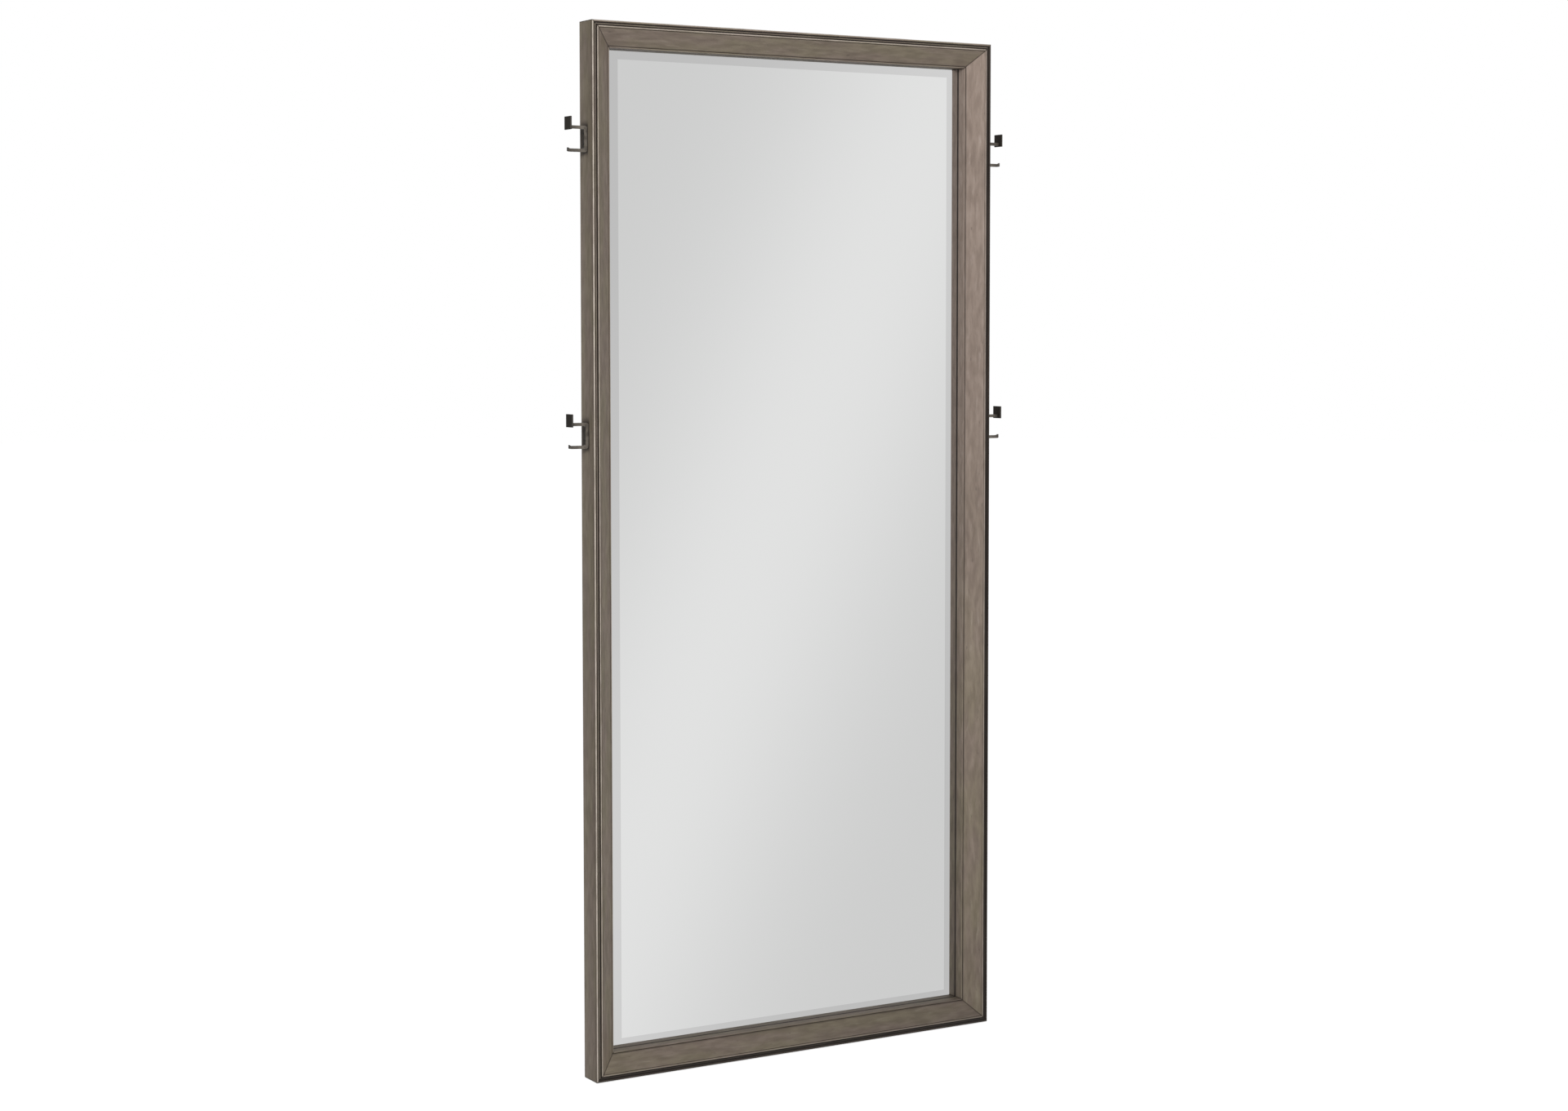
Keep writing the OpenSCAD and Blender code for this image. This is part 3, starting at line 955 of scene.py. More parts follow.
def finish_piece(
    bm: BMesh, piece: Piece, sharper: float = 35.0, flat_over: float = 60.0, joined: bool = False
) -> bpy.types.Object:
    """Turns a mesh in millimetres, in the row frame, into a piece of the object.

    Args:
        bm: The mesh, which is freed.
        piece: What the table says of it.
        sharper: Least angle, in degrees, of an edge that stays sharp.
        flat_over: Least area, in square millimetres, of a face that is shaded flat.
        joined: Says that the mesh holds several bodies, whose normals point outward already.

    Returns:
        The piece's object.
    """
    if not joined:
        face_outward(bm)
    bm.normal_update()
    for face in bm.faces:
        face.smooth = face.calc_area() < flat_over
    limit = math.radians(sharper)
    for edge in bm.edges:
        if edge.is_manifold:
            edge.smooth = edge.calc_face_angle() < limit
    bmesh.ops.scale(bm, verts=bm.verts[:], vec=(MM, MM, MM))
    mesh = new_mesh(piece.name, bm)
    mesh.materials.append(piece.finish.material())
    made = new_object(piece.name, mesh)
    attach(made, piece.body)
    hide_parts(*piece.nodes)
    log.info("%s: %d faces on %s", piece.name, len(mesh.polygons), piece.body)
    return made


# Frame


@dataclass(frozen=True)
class Wear:
    """Wear and painted highlight on one member's beads, painted shade on them, and painted light from end to
    end.
    """

    corner: float
    crest: float
    fine: float
    dirt: float
    pale: Pair


@dataclass(frozen=True)
class Mark:
    """A point of a section: its place in millimetres, wear and painted highlight, and glaze and painted shade
    there.
    """

    x: float
    y: float
    rub: float = 0.0
    glaze_and_shade: float = 0.0


# The uprights run from their foot to their head, the cross members from right to left
# The first three numbers draw beads light by wear and painted highlight, most on the left and top members,
# which the lamp lights; the fourth is painted shade on the right and bottom outer beads; the pair, painted
# light end to end
WEAR_AND_LIGHT = {
    Member.LEFT: Wear(1.0, 0.75, 0.18, 0.0, (1.02, 0.93)),
    Member.RIGHT: Wear(0.05, 0.50, 0.05, 0.93, (0.97, 1.46)),
    Member.TOP: Wear(0.55, 0.75, 0.15, 0.0, (1.06, 0.94)),
    Member.BOTTOM: Wear(0.12, 0.32, 0.05, 0.85, (0.72, 0.88)),
}
# How rubbed a section's rounded corners are, and the power by which the glaze fades up from a bead's feet
CORNER_RUB = 0.15
FOOT_FADE = 2.5


def bead(
    centre: Pair, radius: float, steps: int, rub: float, feet: Pair,
    peak: float = 262.0, spread: float = 32.0, dirt: float = 0.0,
) -> list[Mark]:
    """Gives the front half of a round bead: a light line of wear and painted highlight, and glaze at its
    feet.

    Args:
        centre: Middle of the bead.
        radius: Its radius.
        steps: Number of steps.
        rub: How light the line is drawn, by wear and painted highlight.
        feet: How glazed its outer and inner feet are.
        peak: Angle of the light line in degrees.
        spread: How far, in degrees, the line fades.
        dirt: How glazed the whole bead is: glaze, and painted shade on members away from the light.

    Returns:
        Marks from its outer to its inner foot.
    """
    marks = []
    for step, (x, y) in enumerate(arc(centre, radius, 180, 360, steps)):
        share = step / steps
        glaze_and_shade = abs(2 * share - 1) ** FOOT_FADE * (feet[0] if share < 0.5 else feet[1])
        line = math.exp(-(((180 + 180 * share - peak) / spread) ** 2))
        marks.append(Mark(x, y, rub * line, max(glaze_and_shade, dirt)))
    return marks


def corner(centre: Pair, radius: float, start: float, end: float) -> list[Mark]:
    """Gives a slightly rounded corner of a section."""
    return [Mark(x, y, CORNER_RUB) for x, y in arc(centre, radius, start, end, 4)]


@dataclass
class WoodFrame:
    """Mitred frame of an outer casing and an inner compound moulding, in millimetres."""

    width: float = 914.4
    height: float = 2032.0
    depth: float = 54.5
    face: float = 48.5
    casing: float = 9.5
    rabbet: float = 42.5
    lip_back: float = 48.767
    bead_r: float = 2.0
    flute: float = 3.0
    flute_bead_x: float = 7.05
    flute_bead_r: float = 1.1
    crest_x: float = 11.85
    crest_r: float = 1.75
    crest_foot: float = 0.2
    groove_w: float = 1.0
    groove_depth: float = 1.2
    slope_start: float = 1.4
    slope_end: Pair = (45.6, 25.2)
    sight_depth: float = 26.4
    sight_r: float = 1.2
    arris: float = 0.5
    back_arris: float = 0.9
    mitre_gap: float = 0.07
    # How glazed the flute is
    flute_dirt: float = 0.2
    # How far the glaze reaches: behind the side's groove (strongly, at all), on the slope (from its start,
    # then from its end at all and strongly), past the sight bead; and how far painted shade reaches in from
    # the lip
    groove_glaze_and_shade: Pair = (0.2, 2.5)
    slope_glaze_and_shade: Triple = (1.3, 3.0, 0.6)
    sight_glaze_and_shade: float = 2.0
    painted_shade: float = 1.7
    # How far the glaze of the mitres reaches (strongly, at all), its strength, and what it leaves of the rub
    mitre_reach: Pair = (0.6, 1.44)
    mitre_glaze_and_shade: float = 0.65
    mitre_rub: float = 0.4
    # Shift of the grain from one member to the next, in metres, along it, and the share of that across it
    grain_step: float = 3.7
    grain_aside: float = 0.37
    # Share of the way round from which a face that also has the first mark closes the round
    closing_share: float = 0.9
    finish: StainedWood = field(default_factory=StainedWood)

    @property
    def back(self) -> float:
        """Row-frame Y of the back of the wood."""
        return FRONT_Y + self.depth

    @property
    def middle(self) -> float:
        """Row-frame Z of the middle of the wood."""
        return WOOD_Z + self.height / 2

    def below_top(self, distance: float) -> float:
        """Gives the row-frame Z of what lies so far below the top of the wood."""
        return WOOD_Z + self.height - distance

    def casing_section(self, wear: Wear) -> list[Mark]:
        """Gives the outline of the casing.

        Args:
            wear: Its wear, and the light and shade painted on it.

        Returns:
            Marks round the section, from the back of the outer side.
        """
        side, bead_w = self.back_arris, 2 * self.bead_r
        behind = bead_w + self.groove_w
        strong, clean = self.groove_glaze_and_shade
        # Painted shade darkens the outer beads of the right and bottom members, which face away from the
        # light
        fine_bead_glaze_and_shade = max(wear.dirt, self.flute_dirt)
        centre = (self.bead_r, self.bead_r)
        return [
            *corner((side, self.depth - side), side, 90, 180),
            Mark(0, behind + clean),
            Mark(0, behind + strong, 0.0, 0.25),
            Mark(self.groove_depth / 2, bead_w + self.groove_w / 2, 0.0, 1.0),
            Mark(0, bead_w, 0.1, 0.5),
            *bead(centre, self.bead_r, 14, wear.corner, (0.1, 1.0), 236, 30, wear.dirt),
            Mark(bead_w, self.flute, 0.0, 1.0),
            *bead((self.flute_bead_x, self.flute), self.flute_bead_r, 8, wear.fine, (1.0, 1.0), dirt=fine_bead_glaze_and_shade),
            Mark(self.casing, self.flute, 0.0, 1.0),
            *corner((self.casing - self.arris, self.depth - self.arris), self.arris, 0, 90),
        ]

    def moulding_section(self, wear: Wear) -> list[Mark]:
        """Gives the outline of the moulding.

        Args:
            wear: Its wear, and the light and shade painted on it.

        Returns:
            Marks round the section, from its back beside the casing.
        """
        arris, out, inner = self.arris, self.crest_x - self.crest_r, self.crest_x + self.crest_r
        start, end = Vector((inner + self.groove_w, self.slope_start)), Vector(self.slope_end)
        along = (end - start).normalized()
        near, far, deep = self.slope_glaze_and_shade
        sight = (self.face - self.sight_r, self.sight_depth)
        return [
            *corner((self.casing + arris, self.depth - arris), arris, 90, 180),
            Mark(self.casing, self.flute, 0.0, 1.0),
            Mark(out, self.flute, 0.0, 1.0),
            Mark(out, self.crest_r + self.crest_foot, 0.0, 1.0),
            *bead((self.crest_x, self.crest_r), self.crest_r, 12, wear.crest, (1.0, 0.2), spread=28),
            Mark(inner + self.groove_w / 2, self.crest_r + self.groove_depth, 0.0, 0.8),
            Mark(*start, 0.12, 0.0),
            Mark(*(start + near * along)),
            Mark(*(end - far * along)),
            Mark(*(end - deep * along), 0.0, 0.45),
            Mark(*end, 0.0, 0.8),
            *bead(sight, self.sight_r, 8, wear.fine, (1.0, 0.0), 300, 40),
            Mark(self.face, self.sight_depth + self.sight_glaze_and_shade),
            # Painted shade: the wall darkens towards the glass, in the crease where shade falls
            Mark(self.face, self.lip_back - 2 * self.painted_shade),
            Mark(self.face, self.lip_back - self.painted_shade, 0.0, 0.9),
            Mark(self.face, self.lip_back, 0.0, 1.0),
            Mark(self.rabbet, self.lip_back, 0.0, 0.3),
            *corner((self.rabbet - arris, self.depth - arris), arris, 0, 90),
        ]

    def place(self, member: Member) -> Matrix:
        """Gives the place of a member whose section lies in X and Y and whose length runs along Z.

        Args:
            member: The member.

        Returns:
            Its place in the row frame, in millimetres.
        """
        half = self.width / 2
        across, up = {
            Member.LEFT: ((1, 0, 0, -half), (0, 0, 1, WOOD_Z)),
            Member.RIGHT: ((-1, 0, 0, half), (0, 0, 1, WOOD_Z)),
            Member.BOTTOM: ((0, 0, -1, half), (1, 0, 0, WOOD_Z)),
            Member.TOP: ((0, 0, -1, half), (-1, 0, 0, WOOD_Z + self.height)),
        }[member]
        return Matrix((across, (0, 1, 0, FRONT_Y), up, (0, 0, 0, 1)))

    def mitred(self, marks: Sequence[Mark], length: float, offset: float, pale: Pair) -> BMesh:
        """Makes a length of a section with both ends mitred.

        Args:
            marks: Outline of the section.
            length: Length between the outer corners.
            offset: Shift of the grain, so that no two members match.
            pale: Painted light: how much lighter or darker its first and last ends are drawn.

        Returns:
            The mesh, with its grain map.
        """
        bm = bmesh.new()
        rub, glaze_and_shade, painted_light = (bm.verts.layers.float.new(name) for name in ("rub", "glaze_and_shade", "pale"))
        corners = []
        for mark in marks:
            vertex = bm.verts.new((mark.x, mark.y, 0))
            vertex[rub], vertex[glaze_and_shade] = mark.rub, mark.glaze_and_shade
            corners.append(vertex)
        push(bm, [bm.faces.new(corners)], (0, 0, length))
        slant = math.sqrt(0.5)
        strong, clean = self.mitre_reach
        for base, toward in ((0.0, -1), (length, 1)):
            for inset in (clean, strong, self.mitre_gap):
                last = inset == self.mitre_gap
                plane = (0, 0, base - toward * inset / slant)
                made = cut(bm, plane, (slant, 0, slant * toward), clear=last)
                if last:
                    bmesh.ops.contextual_create(bm, geom=only(BMEdge, made))
                for vertex in only(BMVert, made) if inset <= strong else ():
                    vertex[glaze_and_shade] = max(vertex[glaze_and_shade], self.mitre_glaze_and_shade)
                    vertex[rub] *= self.mitre_rub
        # Painted light: each member drawn lighter or darker from one end to the other
        for vertex in bm.verts:
            vertex[painted_light] = pale[0] + (pale[1] - pale[0]) * vertex.co.z / length
        self.map_grain(bm, marks, offset)
        return bm

    def map_grain(self, bm: BMesh, marks: Sequence[Mark], offset: float) -> None:
        """Lays the grain map: along the length, and round the section.

        Args:
            bm: The member.
            marks: Outline of its section.
            offset: Shift of the grain.
        """
        layer = bm.loops.layers.uv.new(GRAIN_MAP)
        round_by, run = {}, 0.0
        for last, mark in zip((marks[0], *marks), marks):
            run += math.hypot(mark.x - last.x, mark.y - last.y)
            round_by[round(mark.x, 3), round(mark.y, 3)] = run
        closing = run + math.hypot(marks[0].x - marks[-1].x, marks[0].y - marks[-1].y)
        for face in bm.faces:
            across = [round_by[round(c.vert.co.x, 3), round(c.vert.co.y, 3)] for c in face.loops]
            wraps = min(across) == 0 and max(across) > closing * self.closing_share
            for loop, value in zip(face.loops, across):
                value = closing if wraps and value == 0 else value
                loop[layer].uv = (loop.vert.co.z * MM + offset, value * MM + offset * self.grain_aside)

    def build(self) -> None:
        """Makes the eight members."""
        offset = 0.0
        for layer, section in (("casing", self.casing_section), ("moulding", self.moulding_section)):
            for member in Member:
                offset += self.grain_step
                wear = WEAR_AND_LIGHT[member]
                length = self.height if member in (Member.LEFT, Member.RIGHT) else self.width
                bm = self.mitred(section(wear), length, offset, wear.pale)
                bm.transform(self.place(member))
                node = f"{layer}_{member.value}"
                piece = Piece(f"stained_{node}", (node,), self.finish)
                finish_piece(bm, piece, sharper=28.0, flat_over=2000.0)


@dataclass
class MitreNails:
    """V-nails driven across the mitres from the back, in millimetres."""

    frame: WoodFrame
    leg: float = 6.0
    thickness: float = 0.8
    depth: float = 10.0
    places: Triple = (4.35, 20.5, 31.5)
    proud: float = 0.12
    edge: float = 0.1
    finish: ZincSteel = field(default_factory=ZincSteel)

    def build(self) -> None:
        """Makes the twelve nails of all four corners."""
        bm = bmesh.new()
        half_w, half_h = self.frame.width / 2, self.frame.height / 2
        back, middle = self.frame.back + self.proud, self.frame.middle
        leg, thick = self.leg, self.thickness
        outline = [(0, 0), (leg, 0), (leg, thick), (thick, thick), (thick, leg), (0, leg)]
        corners = [(side.value, end) for side in Side for end in (-1, 1)]
        for aside, end in corners:
            for place in self.places:
                part = bmesh.new()
                out, up = half_w - place, half_h - place
                points = [(aside * (out - x), back, middle + end * (up - z)) for x, z in outline]
                slab(part, points, (0, -self.depth - self.proud, 0))
                soften(part, self.edge, 1)
                join(bm, part)
        finish_piece(bm, Piece("zinc_mitre_nails", ("mitre_nails",), self.finish), joined=True)


# Mirror


@dataclass
class BevelledMirror:
    """Silvered glass with a wide flat bevel on its four sides, and the rubber blocks that it stands on."""

    frame: WoodFrame
    panel_t: float
    gap: float = 1.5
    thickness: float = 4.0
    bevel: float = 34.0
    end_bevel: float = 23.0
    fall: float = 1.7
    arris: float = 0.3
    block_length: float = 60.0
    block_inset: float = 250.0
    block_edge: float = 0.15
    finish: Silvering = field(default_factory=Silvering)
    block_finish: Rubber = field(default_factory=Rubber)

    def build(self) -> None:
        """Makes the mirror and its blocks."""
        edge = self.frame.rabbet + self.gap
        width, height = self.frame.width - 2 * edge, self.frame.height - 2 * edge
        body = self.thickness - self.fall
        bm = block((0, self.frame.back - self.panel_t - body / 2, self.frame.middle), (width, body, height))
        ground, sloped = (bm.faces.layers.float.new(name) for name in ("ground", "sloped"))
        bm.normal_update()
        front = [face for face in bm.faces if face.normal.y < -LOOKS]
        for face in bm.faces:
            face[ground] = 0.0 if face in front else 1.0
        slopes = bmesh.ops.inset_region(
            bm, faces=front, thickness=self.end_bevel, depth=self.fall, use_even_offset=True,
            use_boundary=True,
        )["faces"]
        narrowed = (width - 2 * self.bevel) / (width - 2 * self.end_bevel)
        bmesh.ops.scale(bm, verts=front[0].verts[:], vec=(narrowed, 1, 1))
        for face in slopes:
            face[ground], face[sloped] = 0.0, 1.0
        round_off(bm, front[0].edges[:], self.arris, 1)
        made = finish_piece(bm, Piece("bevelled_mirror", ("mirror_glass",), self.finish), sharper=0.5)
        self.level_light(made.data)
        self.build_blocks()

    def level_light(self, mesh: bpy.types.Mesh) -> None:
        """Shades the bevel in line with the flat: the same reflections; its material paints it a tone darker.

        Args:
            mesh: The mirror's mesh.
        """
        normals = [Vector()] * len(mesh.loops)
        for face in mesh.polygons:
            normal = Vector((0, -1, 0)) if face.normal.y < -LOOKS else face.normal.copy()
            for loop in face.loop_indices:
                normals[loop] = normal
        mesh.normals_split_custom_set(normals)

    def build_blocks(self) -> None:
        """Makes the two blocks under the glass."""
        bm = bmesh.new()
        inset, lip = self.frame.width / 2 - self.block_inset, self.frame.lip_back
        depth = self.frame.depth - self.panel_t - lip
        for side in Side:
            height = WOOD_Z + self.frame.rabbet + self.gap / 2
            middle = (side.value * inset, FRONT_Y + lip + depth / 2, height)
            part = block(middle, (self.block_length, depth, self.gap))
            soften(part, self.block_edge)
            join(bm, part)
        finish_piece(bm, Piece("rubber_setting_blocks", ("setting_blocks",), self.block_finish), joined=True)


# Screws


class Head(Enum):
    """The two shapes of a screw's head."""

    PAN = "pan"
    COUNTERSUNK = "countersunk"


@dataclass(frozen=True)
class Screw:
    """Wood screw with a cross recess, its head seated at the origin and pointing up Z, in millimetres."""

    radius: float
    length: float
    head: Head = Head.PAN
    steps: int = 20
    # Shares of the head's radius: how far the cross reaches, and half the width of its slots
    cross_reach: float = 0.52
    cross_half: float = 0.10
    # Depth of the cross as a share of the screw's radius, and what its floor keeps of its width
    cross_depth: float = 0.7
    cross_taper: float = 0.82
    # Least upward share of the normals of the head's top
    upward: float = 0.3

    @property
    def head_r(self) -> float:
        """Radius of the head."""
        return self.radius * (2.0 if self.head is Head.PAN else 1.6)

    def outline(self) -> list[Pair]:
        """Gives half the screw's outline.

        Returns:
            Radius and height of each point, from the top of the head to the tip.
        """
        wide, r = self.head_r, self.radius
        if self.head is Head.PAN:
            rise = 1.2 * r
            dome = ((0.45, 1.0), (0.72, 0.94), (0.92, 0.70), (1.0, 0.36), (1.0, 0.0))
            top = [*((wide * out, rise * up) for out, up in dome), (r, 0.0)]
        else:
            rise = 0.12 * wide
            top = [(wide * 0.5, rise), (wide * 0.8, rise * 0.6), (wide, 0.02), (r, r - wide)]
        return [(0.0, rise), *top, (r, 2 * r - self.length), (0.2 * r, -self.length), (0.0, -self.length)]

    def build(self) -> BMesh:
        """Makes the screw.

        Returns:
            The mesh at the origin.
        """
        bm = bmesh.new()
        lathe(bm, self.outline(), self.steps)
        face_outward(bm)
        reach, half = self.cross_reach * self.head_r, self.cross_half * self.head_r
        for normal in ((1, 0, 0), (0, 1, 0)):
            for place in (-reach, -half, half, reach):
                cut(bm, Vector(normal) * place, normal, self.top_faces(bm))
        bm.normal_update()
        cross = []
        for face in self.top_faces(bm):
            middle = face.calc_center_median()
            x, y = abs(middle.x), abs(middle.y)
            if max(x, y) < reach and min(x, y) < half:
                cross.append(face)
        sunk = push(bm, cross, (0, 0, -self.cross_depth * self.radius))
        bmesh.ops.scale(bm, verts=only(BMVert, sunk), vec=(self.cross_taper, self.cross_taper, 1))
        return bm

    def top_faces(self, bm: BMesh) -> list[BMFace]:
        """Finds the faces on top of the head."""
        return [f for f in bm.faces if f.normal.z > self.upward and f.calc_center_median().z > -NEAR]


def drive_screws(screw: Screw, places: Sequence[Matrix], piece: Piece) -> None:
    """Makes a set of like screws, each turned by its own chance.

    Args:
        screw: The screw.
        places: Where they go.
        piece: What the table says of the set.
    """
    chance = random.Random(len(places))
    bm = bmesh.new()
    for place in places:
        join(bm, screw.build(), place @ Matrix.Rotation(chance.uniform(0, math.pi), 4, "Z"))
    finish_piece(bm, piece, sharper=30.0, flat_over=1e6, joined=True)


# Hooks


@dataclass
class DoubleHook:
    """Two-armed hook bent from square bar, a square plate on its upper arm, in millimetres."""

    frame: WoodFrame
    side: Side
    row: str
    from_top: float
    bar: float = 6.0
    reach: float = 40.0
    arms: float = 43.5
    plate_w: float = 25.0
    plate_t: float = 3.5
    plate_drop: float = 2.2
    sunk: float = 0.5
    inner_r: float = 3.0
    outer_r: float = 4.0
    tip_r: float = 11.0
    tip_length: float = 5.2
    tip_turn: float = 55.0
    tip_end: float = 39.7
    screw_gap: float = 20.0
    edge: float = 0.55
    # Painted light on the bar and the plate, on faces that look aside and on the others: dark aside, lighter
    # elsewhere
    bar_rub: Pair = (0.2, 1.0)
    plate_rub: Pair = (0.0, 0.3)
    # Least share of a normal along X that makes its face look aside
    looks_aside: float = 0.6
    finish: DarkBronze = field(default_factory=DarkBronze)

    def place(self) -> Matrix:
        """Gives the hook's place: X away from the wood, Z up from the middle of the upper arm.

        Returns:
            The place in the row frame, in millimetres.
        """
        x, z = self.side.value * self.frame.width / 2, self.frame.below_top(self.from_top)
        mirrored = Matrix.Diagonal((self.side.value, 1, 1, 1))
        return Matrix.Translation((x, FRONT_Y + self.frame.depth / 2, z)) @ mirrored

    def bent_bar(self) -> BMesh:
        """Makes the bar with its two arms.

        Returns:
            The mesh in the hook's own frame.
        """
        bm = bmesh.new()
        half, low = self.bar / 2, -self.arms
        tip_start = self.tip_end - self.tip_length
        arm_end = self.reach - self.plate_t + self.sunk
        points = [
            (0, half), (arm_end, half), (arm_end, -half), (self.bar, -half), (self.bar, low + half),
            (tip_start, low + half), (tip_start, low - half), (0, low - half),
        ]
        corners = [bm.verts.new((x, -half, z)) for x, z in points]
        bm.faces.new(corners)
        for pair, radius in (((0, 7), self.outer_r), ((3, 4), self.inner_r)):
            round_off(bm, [corners[i] for i in pair], radius, 6, corners=True)
        push(bm, bm.faces[:], (0, self.bar, 0))
        ends = [f for f in bm.faces if abs(f.calc_center_median().x - tip_start) < NEAR and len(f.verts) == 4]
        turn(bm, region(ends), (tip_start, 0, low + self.tip_r), (0, 1, 0), -self.tip_turn, 11)
        made = cut(bm, (self.tip_end, 0, 0), (1, 0, 0), clear=True)
        bmesh.ops.contextual_create(bm, geom=only(BMEdge, made))
        face_outward(bm)
        soften(bm, self.edge, sharper=50)
        return bm

    def square_plate(self) -> BMesh:
        """Makes the plate on the upper arm.

        Returns:
            The mesh in the hook's own frame.
        """
        middle = (self.reach - self.plate_t / 2, 0, self.plate_w / 2 - self.bar / 2 - self.plate_drop)
        bm = block(middle, (self.plate_t, self.plate_w, self.plate_w))
        soften(bm, self.edge, 3)
        return bm

    def build(self) -> None:
        """Makes the hook."""
        bm = bmesh.new()
        for part, (aside, other) in ((self.bent_bar(), self.bar_rub), (self.square_plate(), self.plate_rub)):
            layer = part.faces.layers.float.new("rub")
            part.normal_update()
            for face in part.faces:
                # Painted light: faces that look aside are drawn dark, the others light
                face[layer] = aside if abs(face.normal.x) > self.looks_aside else other
            join(bm, part, self.place())
        name = f"{self.row}_{self.side.word}"
        piece = Piece(f"bronze_hook_{name}", (f"hook_{name}",), self.finish)
        finish_piece(bm, piece, flat_over=12.0, joined=True)

    def screw_places(self) -> list[Matrix]:
        """Gives the places of the hook's two screws.

        Returns:
            The places in the row frame, in millimetres.
        """
        out = self.side.value
        x, y, z = self.place().translation
        heights = (z - self.arms / 2 + end * self.screw_gap / 2 for end in (-1, 1))
        return [facing((x + out * self.bar, y, height), (out, 0, 0)) for height in heights]


# Backing


@dataclass
class Backing:
    """Hardboard panel and the steel clips that hold it in the rabbet, in millimetres."""

    frame: WoodFrame
    gap: float = 1.0
    panel_t: float = 3.0
    panel_edge: float = 0.3
    clip_length: float = 30.0
    clip_w: float = 14.0
    clip_t: float = 1.2
    clip_edge: float = 0.22
    clip_reach: float = 10.0
    inset: float = 240.0
    side_clips: int = 5
    end_clips: int = 2
    screw: Screw = Screw(1.5, 14.0)
    finish: Hardboard = field(default_factory=Hardboard)
    clip_finish: ZincSteel = field(default_factory=ZincSteel)

    def spaced(self, length: float, count: int) -> list[float]:
        """Gives evenly spaced places along a member, measured from its middle."""
        return [self.inset + i * (length - 2 * self.inset) / (count - 1) - length / 2 for i in range(count)]

    def clip_places(self) -> list[Matrix]:
        """Gives the place of each clip: X pointing inwards from the frame's side, Y out of the back.

        Returns:
            The places, in millimetres.
        """
        width, height, back, middle = self.frame.width, self.frame.height, self.frame.back, self.frame.middle
        places = []
        for side in Side:
            turned = Matrix.Diagonal((-side.value, 1, 1, 1))
            for z in self.spaced(height, self.side_clips):
                places.append(Matrix.Translation((side.value * width / 2, back, middle + z)) @ turned)
        for end in (-1, 1):
            turned = Matrix.Rotation(math.radians(end * 90), 4, "Y")
            for x in self.spaced(width, self.end_clips):
                places.append(Matrix.Translation((x, back, middle + end * height / 2)) @ turned)
        return places

    def build_panel(self) -> None:
        """Makes the hardboard panel."""
        edge = self.frame.rabbet + self.gap
        size = (self.frame.width - 2 * edge, self.panel_t, self.frame.height - 2 * edge)
        bm = block((0, self.frame.back - self.panel_t / 2, self.frame.middle), size)
        soften(bm, self.panel_edge)
        finish_piece(bm, Piece("hardboard_panel", ("backing_panel",), self.finish))

    def build_clips(self) -> None:
        """Makes the clips and their screws."""
        places = self.clip_places()
        middle = self.frame.rabbet + self.gap + self.clip_reach - self.clip_length / 2
        straight, r = (self.clip_length - self.clip_w) / 2, self.clip_w / 2
        outline = arc((middle + straight, 0), r, -90, 90, 10) + arc((middle - straight, 0), r, 90, 270, 10)
        bm = bmesh.new()
        for place in places:
            part = bmesh.new()
            slab(part, [(x, 0, z) for x, z in outline], (0, self.clip_t, 0))
            face_outward(part)
            soften(part, self.clip_edge, sharper=60)
            join(bm, part, place)
        piece = Piece("zinc_backing_clips", ("backing_clips",), self.clip_finish)
        finish_piece(bm, piece, flat_over=30.0, joined=True)
        hole = Vector((middle - self.clip_length / 4, self.clip_t, 0))
        piece = Piece("zinc_clip_screws", ("backing_clip_screws",), self.clip_finish)
        drive_screws(self.screw, [facing(place @ hole) for place in places], piece)

    def build(self) -> None:
        """Makes the panel, the clips and their screws."""
        self.build_panel()
        self.build_clips()


# Hangers


